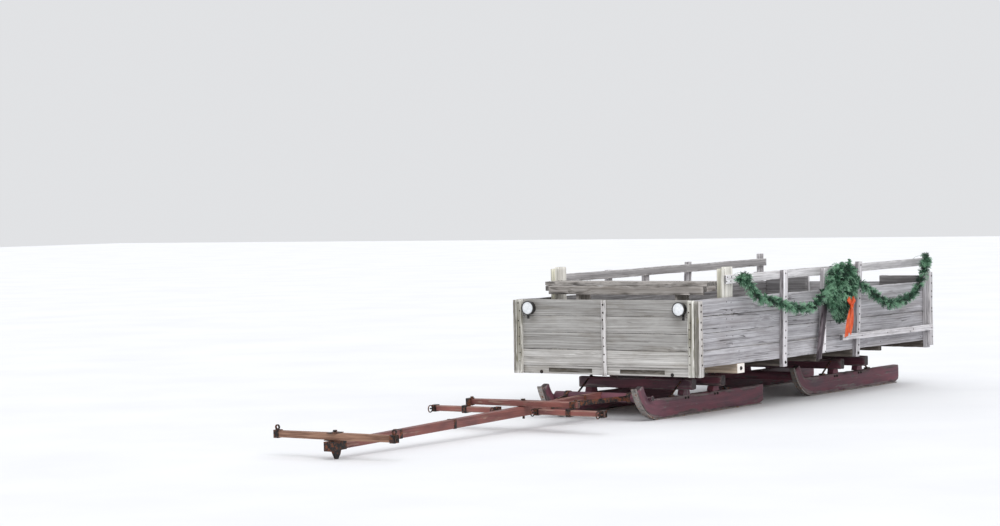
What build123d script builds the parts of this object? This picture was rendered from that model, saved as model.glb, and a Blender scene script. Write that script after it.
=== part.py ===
from build123d import *
import math
import os

os.makedirs("parts", exist_ok=True)

# Farm bobsled: a plank box body on two short bobs, with pole, evener,
# singletrees and neck yoke.  Millimetres.  +X forward (towards the pole),
# +Y left, +Z up.  Origin: centre of the footprint, on the ground.
# "back" means the distance behind the front wall's outer face.

# ---------------------------------------------------------------- main sizes
FRONT_X = 455.16         # X of the front wall's outer face
BOX_L = 4800.0           # outer length of the box
HALF_W = 950.0           # outer half width over the wall planks
WALL_T = 25.0            # plank thickness
PLANK_H = 150.0          # plank height
PLANK_GAP = 3.4          # gap between planks
N_PLANKS = 4
BOX_Z = 470.0            # lower edge of the wall planks
BOX_TOP = BOX_Z + N_PLANKS * PLANK_H + (N_PLANKS - 1) * PLANK_GAP
BEAM_Z = 390.0           # underside of the cross beams
DECK_T = 25.0
DECK_TOP = BOX_Z + DECK_T
STAKE_T = 45.0           # stake thickness, across the wall
STAKE_W = 80.0           # stake width, along the wall
STAKE_Y = HALF_W + STAKE_T

# rails
RAIL_T = 25.0
RAIL_H = 80.0
RAIL_FRONT_TOP = BOX_Z + 815.0
RAIL_REAR_TOP = BOX_Z + 856.0
RUB_T = 40.0
RUB_H = 58.0

# bobs
BOB_BACK = 818.0         # front kingpin, behind the front wall
REAR_BOB_BACK = 3800.0
RUN_Y = 500.0            # runner centre
RUN_T = 64.0
RUN_TOP = 190.0
SHOE_T = 12.0
NOSE_FWD = 1165.0        # kingpin to the nose tip
TAIL_BACK = 1190.0       # kingpin to the runner's tail
NOSE_R = 430.0
NOSE_W = 110.0
NOSE_DEG = 68.0
BEAM_OFF = 270.0         # bob cross beams, before and behind the kingpin
CB_HALF = 610.0
CB_Z0, CB_Z1 = 238.0, 338.0
CB_W = 90.0
KING_R = 12.5
RUN_CLEAR = 0.05         # running clearance, radial

# pole group (built along its own +X, origin on the roller axis)
ROLLER_FWD = 930.0       # kingpin to the roller
ROLLER_Z = 205.0
ROLLER_R = 42.0
GUDGEON_R = 14.0
POLE_L = 3960.0
POLE_ROOT_W, POLE_ROOT_H = 84.0, 86.0
POLE_TIP_W, POLE_TIP_H = 62.0, 64.0
EVENER_X = 1230.0
EVENER_HALF = 590.0
SINGLE_Y = 540.0
HOOK_X = 3850.0          # lowest iron of the tip
HOOK_LOW = -108.0


# ---------------------------------------------------------------- helpers
def block(x0, x1, y0, y1, z0, z1):
    return Pos((x0 + x1) / 2, (y0 + y1) / 2, (z0 + z1) / 2) * Box(abs(x1 - x0), abs(y1 - y0), abs(z1 - z0))


def bb(b0, b1, y0, y1, z0, z1):
    """Block between two distances behind the front wall."""
    return block(FRONT_X - b1, FRONT_X - b0, y0, y1, z0, z1)


def prism_y(points, y0, y1):
    """Closed XZ outline, extruded from y0 to y1."""
    wire = Wire.make_polygon([Vector(x, y0, z) for x, z in points], close=True)
    face = Face(wire)
    return Solid.extrude(face, Vector(0, y1 - y0, 0))


def solids(shape):
    return list(shape.solids())


NODES = {}


def node(name, *shapes):
    out = []
    for s in shapes:
        out += solids(s) if not isinstance(s, list) else [q for t in s for q in solids(t)]
    NODES.setdefault(name, []).extend(out)


def mirror_y(shape):
    return shape.mirror(Plane.XZ)


def both(shape):
    return [shape, mirror_y(shape)]


# ---------------------------------------------------------------- box: floor
DECK_N = 9
DECK_GAP = 4.0
deck_w = (2 * (HALF_W - WALL_T - 1) - (DECK_N - 1) * DECK_GAP) / DECK_N
for i in range(DECK_N):
    y0 = -(HALF_W - WALL_T - 1) + i * (deck_w + DECK_GAP)
    node("deck_boards", bb(WALL_T + 1, BOX_L - WALL_T - 1, y0, y0 + deck_w, BOX_Z, DECK_TOP))

# lateral beams: back start, back end
CROSS_BEAMS = [(1580, 1656), (2300, 2376), (3075, 3151), (4714, 4796)]
for b0, b1 in CROSS_BEAMS:
    node("cross_beams", bb(b0, b1, -HALF_W, HALF_W, BEAM_Z + 5, BOX_Z))
# a lighter one just ahead of the rear bolster
node("cross_beams", bb(3691, 3729, -HALF_W, HALF_W, BOX_Z - 50, BOX_Z))
# front sill: lateral timber under the front wall, slightly set back, two shallow slots in its face
sill = bb(10, 160, -HALF_W + 2, HALF_W - 2, BOX_Z - 76, BOX_Z)
for y0, y1 in ((150, 620), (-620, -150)):
    sill -= bb(10, 26, y0, y1, BOX_Z - 60, BOX_Z - 22)
node("front_sill", sill)
# bolsters over the bobs, bored for their kingpins
for name, back, w, z0, half in (("front_bolster", BOB_BACK, 134.0, 383.0, HALF_W), ("rear_bolster", REAR_BOB_BACK, 134.0, 386.0, 620.0)):
    bol = bb(back - w / 2, back + w / 2, -half, half, z0, BOX_Z)
    bol -= Pos(FRONT_X - back, 0, 430) * Cylinder(KING_R + RUN_CLEAR, 200)
    node(name, bol)
# side sills between the lateral timbers
SILL_RUNS = [(160, 751), (885, 1580), (1656, 2300), (2376, 3075), (3151, 3691), (3867, 4714)]
for b0, b1 in SILL_RUNS:
    for s in (1, -1):
        node("side_sills", bb(b0 + 0.5, b1 - 0.5, s * 300, s * 390, BEAM_Z + 5, BOX_Z - 0.3))

# ---------------------------------------------------------------- box: walls
for i in range(N_PLANKS):
    z0 = BOX_Z + i * (PLANK_H + PLANK_GAP)
    z1 = z0 + PLANK_H
    node("left_wall", bb(0, BOX_L, HALF_W - WALL_T, HALF_W, z0, z1))
    node("right_wall", bb(0, BOX_L, -HALF_W, -(HALF_W - WALL_T), z0, z1))
    node("front_wall", bb(0, WALL_T, -(HALF_W - WALL_T - 0.5), HALF_W - WALL_T - 0.5, z0, z1))

# front wall: centre batten and the posts at its two ends
node("front_batten", block(FRONT_X, FRONT_X + 20, -23, 23, BOX_Z - 82, BOX_TOP - 4))
for s in (1, -1):
    node("corner_posts", block(FRONT_X + 0.2, FRONT_X + 35, s * 882, s * (HALF_W - 0.4), BOX_Z - 76, BOX_TOP - 2))
    node("corner_posts", block(FRONT_X - 60, FRONT_X + 10, s * HALF_W, s * STAKE_Y, BOX_Z - 78, BOX_TOP - 8))

# ---------------------------------------------------------------- box: stakes


def stake(b_low, b_high, width, z0, z1, y0, y1):
    """Upright on the wall, b_low and b_high are its front edge low and high."""
    pts = [(FRONT_X - b_low, z0), (FRONT_X - b_high, z1), (FRONT_X - b_high - width, z1), (FRONT_X - b_low - width, z0)]
    return prism_y(pts, y0, y1)


# front edge at the foot, front edge at the top, width, depth, foot Z, top Z
STAKES = [
    (1554, 1596, 90, 40, BEAM_Z + 2, BOX_Z + 828),
    (3073, 3158, STAKE_W, STAKE_Y - HALF_W, BEAM_Z + 6, BOX_Z + 862),
    (4700, 4700, STAKE_W, STAKE_Y - HALF_W, BEAM_Z + 4, BOX_Z + 905),
]
for low, high, w, d, z0, z1 in STAKES:
    node("stakes", stake(low, high, w, z0, z1, HALF_W, HALF_W + d))
    node("stakes", stake(low, high, w, z0, z1, -HALF_W - d, -HALF_W))
# a facing on each rear stake, flush with the rub rail, above and below it
for s in (1, -1):
    node("stakes", bb(4702, 4776, s * (STAKE_Y + 0.3), s * (STAKE_Y + RUB_T), BOX_Z - 51, BOX_Z + 105.5))
    node("stakes", bb(4702, 4776, s * (STAKE_Y + 0.3), s * (STAKE_Y + RUB_T), BOX_Z + 106.5 + RUB_H, BOX_Z + 708))
# the middle stake, with an older, darker batten that hangs askew on its outer
# face on the left, and its plain fellow on the right
node("stakes", stake(2349, 2415, 76, BOX_Z + 4, BOX_Z + 821, HALF_W, STAKE_Y))
node("leaning_stake", stake(2210, 2356, 78, BOX_Z - 47, BOX_Z + 490, STAKE_Y + 0.3, STAKE_Y + 27))
node("stakes", stake(2300, 2300, STAKE_W, BEAM_Z + 4, BOX_Z + 830, -STAKE_Y, -HALF_W))

# double posts inside the wall that carry the front ends of the top rails
for s in (1, -1):
    node("rail_posts", bb(532, 600, s * 873, s * (HALF_W - WALL_T - 0.3), DECK_TOP, BOX_Z + 874))
    node("rail_posts", bb(601, 735, s * 878, s * (HALF_W - WALL_T - 0.3), DECK_TOP, BOX_Z + 888))

# ---------------------------------------------------------------- box: rails
rail_pts = [
    (FRONT_X - 576, RAIL_FRONT_TOP),
    (FRONT_X - BOX_L + 4, RAIL_REAR_TOP),
    (FRONT_X - BOX_L + 4, RAIL_REAR_TOP - RAIL_H),
    (FRONT_X - 576, RAIL_FRONT_TOP - RAIL_H),
]
node("top_rails", prism_y(rail_pts, HALF_W - RAIL_T + 0.2, HALF_W - 0.2))
node("top_rails", prism_y(rail_pts, -(HALF_W - 0.2), -(HALF_W - RAIL_T + 0.2)))
for s in (1, -1):
    # the rub rails start behind the middle stake
    node("rub_rails", bb(2712, 4780, s * STAKE_Y, s * (STAKE_Y + RUB_T), BOX_Z + 106, BOX_Z + 106 + RUB_H))

# ---------------------------------------------------------------- box: seats
SEAT_UNDER = BOX_Z + 722.0
for b0, b1 in ((352, 495.5), (496.5, 640)):
    node("driver_seat", bb(b0, b1, -872, 872, SEAT_UNDER, BOX_Z + 760))
node("driver_seat", bb(352, 377, -833.7, 833.7, BOX_Z + 640, SEAT_UNDER - 0.3))
for s in (1, -1):
    node("driver_seat", bb(356, 520, s * 834, s * 872, BOX_Z + 672, SEAT_UNDER - 0.3))
    node("driver_seat", bb(377.3, 600, s * 520, s * 545, DECK_TOP, SEAT_UNDER - 0.3))
BENCH_TOP = DECK_TOP + 440.0
for s in (1, -1):
    bench = bb(900, 4500, s * 590, s * 885, BENCH_TOP - 38, BENCH_TOP)
    for b0 in (960, 2050, 3150, 4400):
        bench += bb(b0, b0 + 38, s * 610, s * 870, DECK_TOP, BENCH_TOP - 38)
    node("side_benches", bench)

# ---------------------------------------------------------------- box: rear end
# two fixed panels beside a doorway, and a door hinged on the left one
DOOR_HALF = 420.0
REAR_TOP = BOX_Z + 672.0
for i in range(N_PLANKS):
    z0 = BOX_Z + i * (PLANK_H + PLANK_GAP)
    z1 = z0 + PLANK_H
    if i == N_PLANKS - 1:
        z1 = REAR_TOP
    for s in (1, -1):
        node("rear_panels", bb(BOX_L - WALL_T, BOX_L, s * (DOOR_HALF + 6), s * (HALF_W - WALL_T - 0.5), z0, z1))
for s in (1, -1):
    node("door_posts", bb(BOX_L, BOX_L + 38, s * (DOOR_HALF + 8), s * (DOOR_HALF + 86), BEAM_Z + 4, REAR_TOP))
DOOR_X0 = FRONT_X - BOX_L            # rear face of the rear wall
HINGE_X = DOOR_X0 - 38 - 11.0
HINGE_Y = DOOR_HALF + 3.0
for i in range(N_PLANKS):
    z0 = BOX_Z + 8 + i * (PLANK_H + PLANK_GAP)
    z1 = z0 + PLANK_H - (12 if i == N_PLANKS - 1 else 0)
    board = block(DOOR_X0 - 38, DOOR_X0 - 13, -DOOR_HALF + 3, DOOR_HALF - 8, z0, z1)
    door = board if i == 0 else door + board
# ledges that hold the door's planks together
for z in (BOX_Z + 112, BOX_Z + 418):
    door += block(DOOR_X0 - 13, DOOR_X0 + 5, -DOOR_HALF + 30, DOOR_HALF - 36, z, z + 80)
# a diagonal brace between the ledges
brace = Wire.make_polygon([Vector(DOOR_X0 - 13, y, z) for y, z in ((-360, BOX_Z + 190), (-280, BOX_Z + 190), (345, BOX_Z + 420), (265, BOX_Z + 420))], close=True)
door += Solid.extrude(Face(brace), Vector(18, 0, 0))
node("tail_door", door)
# strap hinges: leaf with its knuckle on the door, pin and plate on the post
for z in (BOX_Z + 130, BOX_Z + 510):
    strap = block(HINGE_X + 5, HINGE_X + 11, -60, HINGE_Y, z - 18, z + 18)
    strap += Pos(HINGE_X, HINGE_Y, z) * Cylinder(11, 36)
    strap -= Pos(HINGE_X, HINGE_Y, z) * Cylinder(6 + RUN_CLEAR, 60)
    node("door_straps", strap)
    pin = Pos(HINGE_X, HINGE_Y, z - 6) * Cylinder(6, 60)
    pin += Pos(HINGE_X, HINGE_Y, z - 28) * Cylinder(11, 16)
    pin += block(HINGE_X + 2, HINGE_X + 11, HINGE_Y, HINGE_Y + 70, z - 36, z - 20)
    node("hinge_pintles", pin)

# ---------------------------------------------------------------- headlamps
LAMP_Y, LAMP_Z, LAMP_R = 806.0, BOX_Z + 530.0, 65.0
for s in (1, -1):
    shell = Pos(FRONT_X + 18, s * LAMP_Y, LAMP_Z) * Rot(0, 90, 0) * Cylinder(LAMP_R - 5, 36)
    rim = Pos(FRONT_X + 43, s * LAMP_Y, LAMP_Z) * Rot(0, 90, 0) * Cylinder(LAMP_R, 16)
    lamp = shell + rim
    lamp -= Pos(FRONT_X + 44, s * LAMP_Y, LAMP_Z) * Rot(0, 90, 0) * Cylinder(LAMP_R - 7, 20)
    node("headlamps", lamp)
    lens = Pos(FRONT_X + 41.5, s * LAMP_Y, LAMP_Z) * Rot(0, 90, 0) * Cylinder(LAMP_R - 7.3, 14)
    node("headlamp_lenses", lens)


# ---------------------------------------------------------------- bobs
def side_shape(inner_off, outer_off, x_tail, x_nose, z_low):
    """XZ outline of a runner or shoe as a closed face.
    The nose is an arc of radius NOSE_R about (x_nose - NOSE_R, NOSE_R + SHOE_T)."""
    cx, cz = x_nose - NOSE_R, NOSE_R + SHOE_T
    a = math.radians(NOSE_DEG)

    def on(r, ang):
        return (cx + r * math.sin(ang), cz - r * math.cos(ang))
    ro = NOSE_R + outer_off
    ri = NOSE_R - inner_off
    return cx, cz, a, on, ro, ri


def runner(x_king, y):
    x_nose, x_tail = x_king + NOSE_FWD, x_king - TAIL_BACK
    cx, cz, a, on, ro, ri = side_shape(NOSE_W, 0.0, x_tail, x_nose, SHOE_T)
    a_top = math.acos((cz - RUN_TOP) / ri)
    p0, p1 = (x_tail, SHOE_T + 30), (x_tail + 30, SHOE_T)
    p2, p3 = on(ro, 0.0), on(ro, a)
    p4, p5 = on(ri, a), on(ri, a_top)
    p6, p7 = (x_tail + 20, RUN_TOP), (x_tail, RUN_TOP - 20)
    with BuildSketch(Plane.XZ) as sk:
        with BuildLine():
            Line(p0, p1)
            Line(p1, p2)
            ThreePointArc(p2, on(ro, a / 2), p3)
            Line(p3, p4)
            ThreePointArc(p4, on(ri, (a + a_top) / 2), p5)
            Line(p5, p6)
            Line(p6, p7)
            Line(p7, p0)
        make_face()
    body = extrude(sk.sketch, RUN_T)          # Plane.XZ normal is -Y
    return Pos(0, y + RUN_T / 2, 0) * body


def shoe(x_king, y):
    x_nose, x_tail = x_king + NOSE_FWD, x_king - TAIL_BACK
    cx, cz, a, on, ro, ri = side_shape(0.0, SHOE_T, x_tail, x_nose, 0)
    a = math.radians(NOSE_DEG + 3)
    with BuildSketch(Plane.XZ) as sk:
        with BuildLine():
            Line((x_tail + 34, 0), on(ro, 0.0))
            ThreePointArc(on(ro, 0.0), on(ro, a / 2), on(ro, a))
            Line(on(ro, a), on(ri, a))
            ThreePointArc(on(ri, a), on(ri, a / 2), on(ri, 0.0))
            Line(on(ri, 0.0), (x_tail + 34, SHOE_T))
            Line((x_tail + 34, SHOE_T), (x_tail + 34, 0))
        make_face()
    body = extrude(sk.sketch, 52)
    return Pos(0, y + 26, 0) * body


def rod(p, q, r):
    """Round bar between two points."""
    p, q = Vector(*p), Vector(*q)
    d = q - p
    pl = Plane(origin=p, z_dir=d)
    return pl * Pos(0, 0, d.length / 2) * Cylinder(r, d.length)


def make_bob(prefix, back, steer):
    xk = FRONT_X - back
    for s in (1, -1):
        run = runner(xk, s * RUN_Y)
        if steer:
            # bore for the roller's gudgeon
            run -= Pos(xk + ROLLER_FWD, s * RUN_Y, ROLLER_Z) * Rot(90, 0, 0) * Cylinder(GUDGEON_R + RUN_CLEAR, RUN_T * 2)
        node(prefix + "_runners", run)
        node(prefix + "_shoes", shoe(xk, s * RUN_Y))
        for dx in (BEAM_OFF, -BEAM_OFF):
            # knee: a block that widens upwards, between runner and cross beam
            pts = [(xk + dx - 62, RUN_TOP), (xk + dx + 62, RUN_TOP), (xk + dx + 48, CB_Z0), (xk + dx - 48, CB_Z0)]
            node(prefix + "_knees", prism_y(pts, s * RUN_Y - 34, s * RUN_Y + 34))
            # iron stays from the beam's face down to the runner
            sx = 1 if dx > 0 else -1
            lo = (xk + dx + sx * 235, s * RUN_Y, RUN_TOP + 8)
            hi = (xk + dx + sx * (CB_W / 2 + 9), s * RUN_Y, CB_Z1 - 22)
            node(prefix + "_stays", rod(lo, hi, 9) + block(lo[0] - 34, lo[0] + 34, s * RUN_Y - 20, s * RUN_Y + 20, RUN_TOP, RUN_TOP + 14))
    for dx in (BEAM_OFF, -BEAM_OFF):
        node(prefix + "_beams", block(xk + dx - CB_W / 2, xk + dx + CB_W / 2, -CB_HALF, CB_HALF, CB_Z0, CB_Z1))
    king = block(xk - BEAM_OFF - 95, xk + BEAM_OFF + 95, -150, 150, CB_Z1, CB_Z1 + 34)
    z_pl = CB_Z1 + 34
    if not steer:
        king += block(xk - 60, xk + 60, -150, 150, z_pl, 386.0)
    king -= Pos(xk, 0, CB_Z1 + 17) * Cylinder(KING_R + RUN_CLEAR, 120)
    node(prefix + "_king_board", king)
    if steer:
        plate = Pos(xk, 0, z_pl + 5) * Cylinder(140, 10) - Pos(xk, 0, z_pl + 5) * Cylinder(KING_R + RUN_CLEAR, 30)
        node(prefix + "_swivel_plate", plate)


make_bob("front_bob", BOB_BACK, True)
make_bob("rear_bob", REAR_BOB_BACK, False)
# kingpins
for back in (BOB_BACK, REAR_BOB_BACK):
    pin = Pos(FRONT_X - back, 0, (BOX_Z + 322) / 2) * Cylinder(KING_R, BOX_Z - 322 - 2)
    pin += Pos(FRONT_X - back, 0, 318) * Cylinder(22, 20)
    node("kingpins", pin)
# fixed nose bar of the rear bob
xk = FRONT_X - REAR_BOB_BACK
bar = Pos(xk + ROLLER_FWD, 0, ROLLER_Z) * Rot(90, 0, 0) * Cylinder(ROLLER_R, 2 * (RUN_Y - RUN_T / 2) - 1)
node("rear_nose_bar", bar)

# ---------------------------------------------------------------- pole group
# pitch at rest: the tip iron touches the ground
roller_x = FRONT_X - BOB_BACK + ROLLER_FWD
lo_a, hi_a = 0.0, math.radians(10)
for _ in range(60):
    mid = (lo_a + hi_a) / 2
    if ROLLER_Z - (HOOK_X + 22) * math.sin(mid) + HOOK_LOW * math.cos(mid) > 0:
        lo_a = mid
    else:
        hi_a = mid
PITCH = math.degrees(lo_a)
PL = Pos(roller_x, 0, ROLLER_Z) * Rot(0, PITCH, 0)


def pnode(name, *shapes):
    for s in shapes:
        node(name, PL * s)


# roller with its gudgeons
roller = Rot(90, 0, 0) * Cylinder(ROLLER_R, 2 * (RUN_Y - RUN_T / 2 - 6))
roller += Rot(90, 0, 0) * Cylinder(GUDGEON_R, 2 * (RUN_Y + RUN_T / 2 + 24))
for s in (1, -1):
    roller += Pos(0, s * (RUN_Y + RUN_T / 2 + 30), 0) * Rot(90, 0, 0) * Cylinder(24, 12)
POLE_X0 = 4.0            # the pole's root is coped round the roller
pnode("pole_roller", roller)
pole = loft([
    Plane(origin=(POLE_X0, 0, 0), x_dir=(0, 1, 0), z_dir=(1, 0, 0)) * Rectangle(POLE_ROOT_W, POLE_ROOT_H),
    Plane(origin=(POLE_L, 0, 0), x_dir=(0, 1, 0), z_dir=(1, 0, 0)) * Rectangle(POLE_TIP_W, POLE_TIP_H),
])


def pole_h(x):
    t = (x - POLE_X0) / (POLE_L - POLE_X0)
    return POLE_ROOT_H + (POLE_TIP_H - POLE_ROOT_H) * t


def pole_w(x):
    t = (x - POLE_X0) / (POLE_L - POLE_X0)
    return POLE_ROOT_W + (POLE_TIP_W - POLE_ROOT_W) * t


EV_Z0 = pole_h(EVENER_X) / 2 + 4.2          # underside of the evener
EV_T = 46.0
PIN_R = 11.0
pole -= Pos(EVENER_X, 0, 0) * Cylinder(PIN_R + 0.02, 200)
YOKE_X = POLE_L - 95.0
pole -= Pos(YOKE_X, 0, 0) * Cylinder(9 + 0.02, 200)
pole -= Rot(90, 0, 0) * Cylinder(ROLLER_R + 0.4, 300)
pnode("pole", pole)
# hounds: flat irons from the roller out to the pole
for s in (1, -1):
    a0 = (ROLLER_R * 0.0, s * 330.0)
    a1 = (800.0, s * (pole_w(800) / 2 + 6.0))
    dx, dy = a1[0] - a0[0], a1[1] - a0[1]
    ln = math.hypot(dx, dy)
    bar = Pos(a0[0], a0[1], 0) * Rot(0, 0, math.degrees(math.atan2(dy, dx))) * Pos(ln / 2 + 40, 0, 0) * Box(ln + 10, 12, 44)
    bar -= block(700, 1100, -pole_w(800) / 2 - 0.4, pole_w(800) / 2 + 0.4, -60, 60)
    bar = bar & block(34, 842, -400, 400, -60, 60)
    bar -= Pos(0, s * 330, 0) * Rot(90, 0, 0) * Cylinder(ROLLER_R + 0.05, 90)
    end = block(700, 860, s * (pole_w(700) / 2 + 0.2), s * (pole_w(700) / 2 + 10), -22, 22)
    strap = Pos(0, s * 330, 0) * Rot(90, 0, 0) * (Cylinder(ROLLER_R + 7, 44) - Cylinder(ROLLER_R + 0.05, 60))
    pnode("pole_irons", bar + end + strap)
# evener pin and its wear plate
pinp = Pos(EVENER_X, 0, (EV_Z0 + EV_T + 10 - 68) / 2) * Cylinder(PIN_R, EV_Z0 + EV_T + 10 + 68)
pinp += Pos(EVENER_X, 0, EV_Z0 + EV_T + 9) * Cylinder(19, 12)
pinp += Pos(EVENER_X, 0, EV_Z0 - 2.2) * Cylinder(34, 3.4)
pnode("pole_irons", pinp)
# tip iron: ferrule round the pole's end with a hook under it
fx0 = POLE_L - 190.0
fw, fh = pole_w(fx0) / 2, pole_h(fx0) / 2
tip = block(fx0, POLE_L + 8, -fw - 5, fw + 5, -fh - 5, fh + 5) - block(fx0 - 5, POLE_L, -fw - 0.2, fw + 0.2, -fh - 0.2, fh + 0.2)
hook = prism_y([(HOOK_X - 42, -fh - 5), (HOOK_X + 62, -fh - 5), (HOOK_X + 22, HOOK_LOW), (HOOK_X, HOOK_LOW), (HOOK_X - 30, -fh - 40)], -11, 11)
hook = Pos(0, 0, 0) * hook
tip += hook
yk_z0 = fh + 5 + 2.0
ypin = Pos(YOKE_X, 0, (yk_z0 + 70 - fh) / 2 + 2) * Cylinder(9, yk_z0 + 70 + fh - 6)
ypin += Pos(YOKE_X, 0, yk_z0 + 75) * Cylinder(17, 12)
pnode("pole_tip_iron", tip + ypin)


def bar_xy(half, w_mid, w_end, x_off, y_off, z0, z1, flat=120.0):
    """Wooden cross bar along Y, tapering from the middle to its ends."""
    pts = [(w_mid / 2, -flat), (w_mid / 2, flat), (w_end / 2, half), (-w_end / 2, half), (-w_mid / 2, flat), (-w_mid / 2, -flat), (-w_end / 2, -half), (w_end / 2, -half)]
    wire = Wire.make_polygon([Vector(x_off + x, y_off + y, z0) for x, y in pts], close=True)
    return Solid.extrude(Face(wire), Vector(0, 0, z1 - z0))


# evener, pinned on the pole
EV_END_W = 70.0
evener = bar_xy(SINGLE_Y, 112, EV_END_W, EVENER_X, 0, EV_Z0, EV_Z0 + EV_T)
for s in (1, -1):
    evener += Pos(EVENER_X, s * SINGLE_Y, EV_Z0 + EV_T / 2) * Cylinder(EV_END_W / 2, EV_T)
evener -= Pos(EVENER_X, 0, EV_Z0 + EV_T / 2) * Cylinder(PIN_R + RUN_CLEAR, EV_T + 10)
for s in (1, -1):
    evener -= Pos(EVENER_X, s * SINGLE_Y, EV_Z0 + EV_T / 2) * Cylinder(8 + RUN_CLEAR, EV_T + 10)
pnode("evener", evener)

# singletrees: clevis over the evener's end, bar hung below and ahead
ST_HALF = 345.0
ST_X = EVENER_X + 92.0
st_z1 = EV_Z0 - 12.0
ST_T = 48.0
for name, s in (("left", 1), ("right", -1)):
    y = s * SINGLE_Y
    wood = bar_xy(ST_HALF, 62, 42, ST_X, y, st_z1 - ST_T, st_z1, flat=70)
    pnode("singletree_" + name, wood)
    # clip: two ears and a web, with the bolt through the evener
    zt, zb = EV_Z0 + EV_T + 1.0, EV_Z0 - 1.0
    clip = block(EVENER_X, EVENER_X + 66, y - 22, y + 22, zt, zt + 8) + Pos(EVENER_X, y, zt + 4) * Cylinder(22, 8)
    clip += block(EVENER_X, EVENER_X + 66, y - 22, y + 22, zb - 8, zb) + Pos(EVENER_X, y, zb - 4) * Cylinder(22, 8)
    clip += block(EVENER_X + 56, EVENER_X + 66, y - 22, y + 22, zb - 8, zt + 8)
    clip += block(EVENER_X + 50, ST_X + 39, y - 22, y + 22, zb - 8, zb)
    clip += block(ST_X + 31, ST_X + 39, y - 22, y + 22, st_z1 - ST_T - 8, zb)
    clip += block(ST_X - 39, ST_X + 39, y - 22, y + 22, st_z1 - ST_T - 8, st_z1 - ST_T)
    clip += block(ST_X - 39, ST_X - 31, y - 22, y + 22, st_z1 - ST_T - 8, zb - 4)
    clip += Pos(EVENER_X, y, (zt + zb) / 2) * Cylinder(8, zt - zb + 26)
    clip += Pos(EVENER_X, y, zt + 14) * Cylinder(14, 10)
    # ferrules with a bored eye at both ends
    for e in (1, -1):
        ye = y + e * (ST_HALF - 14)
        zc = st_z1 - ST_T / 2
        cap = block(ST_X - 29, ST_X + 29, ye - 22, ye + 22, zc - 30, zc + 30) - block(ST_X - 22.6, ST_X + 22.6, ye - 40, ye + 40, zc - 24.2, zc + 24.2)
        lug = block(ST_X + 20, ST_X + 56, ye - 18, ye + 18, zc - 5, zc + 5) + Pos(ST_X + 56, ye, zc) * Cylinder(20, 10)
        lug -= block(ST_X - 22.6, ST_X + 22.6, ye - 40, ye + 40, zc - 24.2, zc + 24.2)
        lug -= Pos(ST_X + 56, ye, zc) * Cylinder(11, 30)
        node("singletree_%s_irons" % name, PL * (cap + lug))
    node("singletree_%s_irons" % name, PL * clip)

# neck yoke on the pole's tip
YK_HALF = 590.0
YK_T = 52.0
yoke = bar_xy(YK_HALF, 74, 46, YOKE_X, 0, yk_z0 + 6, yk_z0 + 6 + YK_T, flat=150)
yoke -= Pos(YOKE_X, 0, yk_z0 + 30) * Cylinder(20 + 0.02, 100)
pnode("neck_yoke", yoke)
band = Pos(YOKE_X, 0, yk_z0 + 32) * Cylinder(20, 60) + block(YOKE_X - 52, YOKE_X + 52, -75, 75, yk_z0, yk_z0 + 5.8) + block(YOKE_X - 52, YOKE_X + 52, -45, 45, yk_z0 + 6.2 + YK_T, yk_z0 + 12 + YK_T)
band -= Pos(YOKE_X, 0, yk_z0 + 30) * Cylinder(9 + RUN_CLEAR, 120)
pnode("neck_yoke_irons", band)
for e in (1, -1):
    ye = e * (YK_HALF - 16)
    zc = yk_z0 + 6 + YK_T / 2
    cap = block(YOKE_X - 31, YOKE_X + 31, ye - 24, ye + 24, zc - 32, zc + 32) - block(YOKE_X - 24.4, YOKE_X + 24.4, ye - 60, ye + 60, zc - 26.2, zc + 26.2)
    lug = block(YOKE_X - 6, YOKE_X + 6, ye + e * 4 - 18, ye + e * 4 + 18, zc + 30, zc + 52) + Pos(YOKE_X, ye + e * 4, zc + 52) * Rot(0, 90, 0) * Cylinder(22, 12)
    lug -= Pos(YOKE_X, ye + e * 4, zc + 52) * Rot(0, 90, 0) * Cylinder(12, 40)
    pnode("neck_yoke_irons", cap + lug)

# ---------------------------------------------------------------- garland
# evergreen rope in two swags outside the left stakes, with a bunch and a ribbon
G_R = 58.0
G_Y = STAKE_Y + G_R + 18.0
# (back, height above the planks' lower edge)
GARLAND_FRONT = [(625, 772), (735, 800), (800, 690), (950, 590), (1260, 560), (1500, 500), (1760, 454), (2010, 465), (2180, 535), (2248, 590)]
BUNCH_B0, BUNCH_B1 = 2294.0, 2896.0
GARLAND_REAR = [(2925, 690), (3190, 590), (3440, 490), (3690, 412), (3960, 440), (4220, 490), (4390, 600), (4490, 740), (4570, 890)]


def cord_tube(points, name):
    pts = [(FRONT_X - b, BOX_Z + z) for b, z in points]
    runs = [math.dist(p, q) for p, q in zip(pts, pts[1:])]
    radii = []
    for i in range(1, len(pts) - 1):
        a0 = math.atan2(pts[i][1] - pts[i - 1][1], pts[i][0] - pts[i - 1][0])
        a1 = math.atan2(pts[i + 1][1] - pts[i][1], pts[i + 1][0] - pts[i][0])
        turn = abs((a1 - a0 + math.pi) % (2 * math.pi) - math.pi)
        radii.append(0.45 * min(runs[i - 1], runs[i]) / math.tan(turn / 2))
    path = FilletPolyline(*[(x, G_Y, z) for x, z in pts], radius=radii)
    prof = Plane(origin=path @ 0, z_dir=path % 0) * Circle(G_R)
    tube = sweep(prof, path=path)
    print(name, "radii", [round(r) for r in radii], "length", round(path.length), "volume ratio", round(tube.volume / (path.length * math.pi * G_R ** 2), 4))
    return tube


node("garland_front", cord_tube(GARLAND_FRONT, "garland_front"))
node("garland_rear", cord_tube(GARLAND_REAR, "garland_rear"))
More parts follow.
